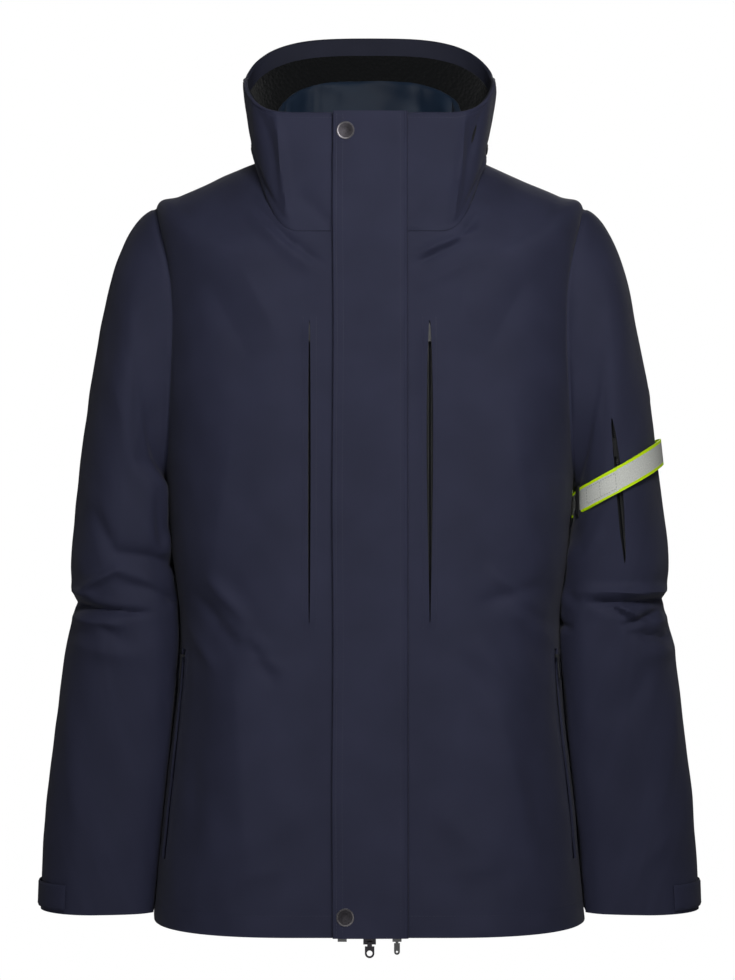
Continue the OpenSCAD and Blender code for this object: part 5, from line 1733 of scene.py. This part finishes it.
POCKET_Y = SHELL_T + 0.8
for side, label in ((-1, "right"), (1, "left")):
    for half, half_label in ((-1, "fore"), (1, "aft")):
        first = half < 0
        zip_half(
            f"chest_{label}_{half_label}",
            pocket_place(CHEST, side),
            half,
            0.5,
            1.4,
            2.0,
            7.5,
            POCKET_Y,
            0,
            chest_len,
            1.9,
            [f"chest_zip_{label}"] if first else [],
            over=4,
        )
        zip_half(
            f"hand_{label}_{half_label}",
            pocket_place(HAND, side),
            half,
            0.5,
            1.4,
            2.0,
            7.5,
            POCKET_Y,
            0,
            hand_len,
            1.9,
            [f"hand_zip_{label}"] if first else [],
            over=4,
        )
for half, half_label in ((-1, "fore"), (1, "aft")):
    zip_half(
        f"sleeve_{half_label}",
        pocket_place(SLEEVE, 1),
        half,
        0.5,
        1.4,
        2.0,
        7.5,
        POCKET_Y,
        0,
        sleeve_len,
        1.9,
        ["sleeve_zip"] if half < 0 else [],
        over=4,
    )

# %% [markdown]
# The sliders, their pulls and the snap studs are right as the CAD has them, so they
# stay, and only take their metal.

# %% Finish of the CAD metal parts
METAL_NODES = ["main_slider_top", "main_pull_top", "main_slider_bottom", "main_pull_bottom", "snap_studs"]
ENAMEL_NODES = [
    "liner_slider_right",
    "liner_slider_left",
    "liner_pull_left",
    "chest_slider_right",
    "chest_slider_left",
]
ENAMEL_NODES += [
    "sleeve_slider", "hand_slider_right", "hand_slider_left", "hand_pull_right", "hand_pull_left"
]
for names, material in (
    (METAL_NODES, gunmetal), (ENAMEL_NODES, black_enamel), (["arm_band_ring"], black_acetal)
):
    for name in names:
        piece = bpy.data.objects[name]
        for index in range(max(1, len(piece.material_slots))):
            if piece.material_slots:
                piece.material_slots[index].material = material
            else:
                piece.data.materials.append(material)


# %% [markdown]
# ## Snaps
# The cap of a press snap is a shallow dished disc with a rolled rim. It starts as a
# cylinder: the front face is inset and pushed in for the dish, inset again for a
# small ring, and the rim is bevelled round. The socket behind the flap is a ring with
# a spring in it.

# %% Snap cap and socket
def disc(radius, depth, height=0.0, corners=48):
    return begin(
        bpy.ops.mesh.primitive_cylinder_add,
        vertices=corners,
        radius=radius,
        depth=depth,
        location=(0, 0, height),
    )


cap = disc(8.5, 2.2, 1.1)
pick(cap, lambda c, n: n.z > 0.9)
bpy.ops.mesh.inset(thickness=1.5)
bpy.ops.transform.translate(value=(0, 0, -0.55))
bpy.ops.mesh.inset(thickness=2.6)
bpy.ops.transform.translate(value=(0, 0, 0.25))
bpy.ops.mesh.inset(thickness=0.5)
bpy.ops.transform.translate(value=(0, 0, -0.2))
CAP = taken(end_edit(cap, 0.35, 30, 3))
socket = disc(6.0, 1.6, -0.8)
pick(socket, lambda c, n: n.z < -0.9)
bpy.ops.mesh.inset(thickness=2.6)
bpy.ops.transform.translate(value=(0, 0, 1.2))
SOCKET = taken(end_edit(socket, 0.25, 30, 2))
DOWN_FRONT = FRONT_TURN[:3, :3] @ np.array([0, 0, 1.0])
for label, up_at in zip(("bottom", "top"), SNAP_Z):
    for part, shape, y in (("cap", CAP, FLAP_Y), ("socket", SOCKET, FLAP_Y + FLAP_T)):
        frame_here = (on_front((SNAP_X, y, up_at)), np.array([1.0, 0, 0]), DOWN_FRONT, OUT_FRONT)
        snap = copies(f"snap_{part}_{label}", shape, [frame_here])
        fix_normals(snap)
        settle(snap, "storm_flap_body", "gunmetal", gunmetal, *(["flap_snaps"] if part == "cap" else []))
        if part == "cap":
            snap.data.materials.append(worn_rim)
            spots = np.array([face.center for face in snap.data.polygons]) / MM
            from_middle = np.linalg.norm(spots - frame_here[0], axis=1)
            for face, far in zip(snap.data.polygons, from_middle):
                face.material_index = int(far > 7.3)


# %% [markdown]
# ## The arm band
# A safety band of reflective tape goes round the left upper arm, passes through a
# loop, and folds back on itself as a tail. It stands a little off the sleeve.

# %% Band, tail and its stitches
BAND_W, BAND_T = 25, 1.5


def band_z(f):
    return -mix(316, 262, (1 + math.cos(math.radians(f))) / 2)


def band_grid(angles, heights, lift, wave=0.0):
    """Points of a strip round the sleeve, a lift off it, in rows from the top down."""
    rows = []
    for h in heights:
        row = []
        for f in angles:
            s = arm_at(f, band_z(f) + h)
            turn = np.array([float(f)])
            off = mix(0.8, 4.6, ((1 + math.cos(math.radians(f - 25))) / 2) ** 0.9) + lift
            off += wave * math.sin(math.radians(f * 5)) * h / 12
            row.append(arm_grid([s], turn)[0, 0] + arm_out([s], turn)[0, 0] * off)
        rows.append(row)
    return np.array(rows)


round_arm = np.arange(0, 360, 6.0)
heights = np.linspace(BAND_W / 2, -BAND_W / 2, 5)
band_out = band_grid(round_arm, heights, BAND_T, 0.25)
band_in = band_grid(round_arm, heights, 0.1, 0.25)
band = wall("arm_band_tape", band_out, band_in, ring=True)
settle(band, "root", "reflective_tape", reflective_tape, "arm_band")
tail_f = np.linspace(92, 138, 17)
tail_h = np.linspace(12, -12, 5)
tail = wall("arm_band_tail_tape", band_grid(tail_f, tail_h, 3.0), band_grid(tail_f, tail_h, 1.85))
settle(tail, "band_tail", "reflective_tape", reflective_tape, "arm_band_tail")
box = []
for h in (7.5, -7.5):
    box.append(band_grid(np.linspace(94, 128, 12), [h], 3.05)[0])
for f in (94, 111, 128):
    box.append(band_grid([f], np.linspace(7.5, -7.5, 5), 3.05)[:, 0])
tail_way = arm_out([arm_at(112, band_z(112))], np.array([112.0]))[0, 0]
# Grey thread that holds the tail of the band
grey_thread = grained("bonded_thread_grey", "#6f716e", "#8d8f8b", 0.6, 0.4, 0.6, 0.3)
tail_stitches = copies(
    "arm_band_tail_stitches", STITCH, stitches([(path, tail_way) for path in box], 3.0, 2.2, 0.22)
)
settle(tail_stitches, "band_tail", "reflective_tape", grey_thread)

# %% [markdown]
# ## Cuff tabs
# Each cuff is drawn in by a tab that closes on a patch of hook tape. The tab is a
# doubled piece of shell cloth with a stitched border.


# %% Tabs and patches
def cuff_grid(angles, rises, lift):
    rows = []
    for rise in rises:
        s = arm_at(0, -CUFF_DROP + rise)
        f = np.asarray(angles, float)
        rows.append(arm_grid([s], f)[0] + arm_out([s], f)[0] * lift)
    return np.array(rows)


tab_angles = np.linspace(-40, 62, 40)
tab_rises = np.linspace(29, 4, 12)
for side, label in ((-1, "right"), (1, "left")):
    outer, inner = cuff_grid(tab_angles, tab_rises, 3.0), cuff_grid(tab_angles, tab_rises, 1.7)
    flips = np.array([side, 1, 1])
    edge_in = np.minimum(
        np.minimum(tab_rises[:, None] - 4, 29 - tab_rises[:, None]), 62 - tab_angles[None] + 0.01
    )
    outer -= arm_out([CUFF - 0.2], tab_angles)[0][None] * (0.7 * np.exp(-((edge_in / 1.2) ** 2)))[..., None]
    tab = wall(f"cuff_tab_{label}_cloth", outer, inner, flip=side < 0)
    settle(tab, f"cuff_tab_{label}_body", "shell_fabric", navy_nylon, f"cuff_tab_{label}")
    lines = []
    for row in (1, 10):
        path = cuff_grid(tab_angles[2:-1], [tab_rises[row]], 2.95)[0]
        lines.append((path * flips, arm_out([CUFF - 0.2], tab_angles[2:-1])[0] * flips))
    end_path = cuff_grid([60.0], tab_rises[1:11], 2.95)[:, 0]
    lines.append((end_path * flips, arm_out([CUFF - 0.2], np.array([60.0]))[0, 0] * flips))
    tab_stitches = copies(f"cuff_tab_{label}_stitches", STITCH, stitches(lines, 3.2, 2.4, 0.22))
    settle(tab_stitches, f"cuff_tab_{label}_body", "shell_fabric", navy_thread)
    patch_angles, patch_rises = np.linspace(20, 50, 14), np.linspace(25, 8, 8)
    patch = wall(
        f"cuff_patch_{label}_hooks",
        cuff_grid(patch_angles, patch_rises, 1.4),
        cuff_grid(patch_angles, patch_rises, 0.4),
        flip=side < 0,
    )
    settle(patch, f"forearm_{label}", "hook_tape", hook_tape, f"cuff_patch_{label}")

# %% [markdown]
# ## The badge, the hood's zip and the hanging loop
# A small round moulding sits on the left sleeve: a plain ring and a dished middle. A
# zip for the hood goes round the back of the collar, and a loop of webbing is sewn
# inside it.

# %% Badge
badge = disc(10, 2.0, 1.0)
pick(badge, lambda c, n: n.z > 0.9)
bpy.ops.mesh.inset(thickness=1.6)
bpy.ops.transform.translate(value=(0, 0, -0.7))
bpy.ops.mesh.inset(thickness=4.2)
bpy.ops.transform.translate(value=(0, 0, 0.35))
BADGE = taken(end_edit(badge, 0.4, 30, 2))
badge_s = arm_at(22, -205)
turn_22 = np.array([22.0])
badge_out = arm_out([badge_s], turn_22)[0, 0]
badge_up = arm_grid([badge_s - 0.05], turn_22)[0, 0] - arm_grid([badge_s + 0.05], turn_22)[0, 0]
badge_up = unit(badge_up - badge_out * (badge_up @ badge_out))
badge_place = arm_grid([badge_s], turn_22)[0, 0] + badge_out * 0.3
badge_piece = copies(
    "sleeve_badge_moulding",
    BADGE,
    [(badge_place, np.cross(badge_up, badge_out), badge_up, badge_out)],
)
fix_normals(badge_piece)
settle(badge_piece, "root", "black_moulding", black_acetal, "badge")

# %% Hood zip round the back of the collar
half_hood = np.arange(72, 180.1, 3.0)
hood_angles = np.concatenate([half_hood, half_hood[-2::-1]])[None]
hood_side = np.concatenate([np.ones(len(half_hood)), -np.ones(len(half_hood) - 1)])[None, :, None]
hood_flip = hood_side * np.array([1, 0, 0]) + np.array([0, 1, 1])
hood_v = np.linspace(0.3, 0.5, 4)[:, None]
points, out = skin(COLLAR, hood_v, hood_angles) * hood_flip, skin_out(COLLAR, hood_v, hood_angles) * hood_flip
hood = wall("hood_zip_tape", points + out * 1.1, points + out * 0.25)
settle(hood, "root", "zip_chain", zip_tape, "hood_zip")
frames = []
for v_at, shift in ((0.385, 0.0), (0.415, 0.5)):
    line = skin(COLLAR, v_at, hood_angles[0]) * hood_flip[0]
    way = skin_out(COLLAR, v_at, hood_angles[0]) * hood_flip[0]
    spots, ahead = along_path(line + way * 1.2, 2.2)
    far = np.linspace(0, 1, len(way))
    outs = unit(np.stack([np.interp(np.linspace(0, 1, len(spots)), far, way[:, k]) for k in range(3)], 1))
    for p, a, o in zip(spots, ahead, outs):
        across = unit(np.cross(o, a)) * (1 if shift else -1)
        frames.append((p + a * 1.1 * shift, across * 2.2, o * 1.3, a * 1.2))
hood_teeth = copies("hood_zip_teeth", TOOTH, frames)
fix_normals(hood_teeth)
settle(hood_teeth, "root", "zip_chain", black_acetal)

# %% Hanging loop
loop_place = skin(LINER_COLLAR, 1.1, 180.0) - skin_out(LINER_COLLAR, 1.1, 180.0) * (LINER_Y + LINER_T + 1.4)
turns = np.arange(0, 360, 6.0)
radii = np.array([14.0, 15.4, 17.6, 19.0])[:, None]
# The loop hangs from its two ends, so it sags into a flat oval below its seam
ring_x, ring_z = radii * np.cos(np.radians(turns)), radii * 0.55 * np.sin(np.radians(turns)) - 8.5
bow = 0.15 * np.sin(np.radians(3 * turns))[None] + 0 * radii
front_face = loop_place + np.stack([ring_x, -3.1 + bow, ring_z], -1)
rear_face = loop_place + np.stack([ring_x, -1.5 + bow, ring_z], -1)
loop = wall("hanging_loop_webbing", front_face, rear_face, ring=True)
fix_normals(loop)
settle(loop, "root", "webbing", webbing, "hanger_loop")

# %% [markdown]
# ## What each piece of cloth was cut to
# Before it finishes, the file says how large each sheet of cloth was when it lay
# flat, in the order width, length. The sizes are estimates: a sleeve is about
# its girth by its length, a front the quarter chest by the height of the body. Those
# of the facings, inner flap, cuff tabs, cuff patches and loop were fitted to the mesh.

# %% Flat size of each sheet, in millimetres, and the part of that rectangle it fills
CUTS = []
for label in ("right", "left"):
    CUTS += [
        (f"front_panel_{label}_cloth", 262, 766, 0.86, "hung", ["collar_cloth"]),
        (f"sleeve_{label}_cloth", 420, 640, 0.78, "hung", [f"front_panel_{label}_cloth"]),
        (f"facing_{label}_cloth", 10, FRONT_LEN, 1.0, "hung", [f"front_panel_{label}_cloth"]),
        (f"chest_bag_{label}_knit", 19, CHEST_LEN + 28, 1.0, "hung", [f"front_panel_{label}_cloth"]),
        (f"hand_bag_{label}_knit", 28, HAND_LEN + 20, 1.0, "hung", [f"front_panel_{label}_cloth"]),
        (f"cuff_tab_{label}_cloth", 104, 25, 1.0, "stretched", [f"sleeve_{label}_cloth"]),
        (f"cuff_patch_{label}_hooks", 30, 17, 1.0, "stretched", [f"sleeve_{label}_cloth"]),
    ]
CUTS += [
    ("back_panel_cloth", 560, 776, 0.88, "hung", ["collar_cloth"]),
    ("collar_cloth", 640, 143, 0.94, "folded", ["back_panel_cloth"]),
    ("collar_fleece", 600, 90, 0.94, "hung", ["collar_cloth"]),
    ("storm_flap_cloth", 75, FRONT_LEN, 1.0, "hung", ["front_panel_left_cloth"]),
    ("inner_flap_cloth", 30, FRONT_LEN, 1.0, "hung", ["facing_left_cloth"]),
    ("sleeve_bag_knit", 20, SLEEVE_SLIT_LEN, 1.0, "hung", ["sleeve_left_cloth"]),
    ("arm_band_tape", BAND_W, 400, 1.0, "stretched", ["sleeve_left_cloth"]),
    ("arm_band_tail_tape", BAND_W - 1, 52, 1.0, "laid", ["arm_band_tape"]),
    ("hood_zip_tape", 440, 12, 1.0, "hung", ["collar_cloth"]),
    ("hanging_loop_webbing", 90, 10, 0.5, "hung", ["liner_collar_pad"]),
]
for name, wide, long, share, held, rests_on in CUTS:
    piece = bpy.data.objects[name]
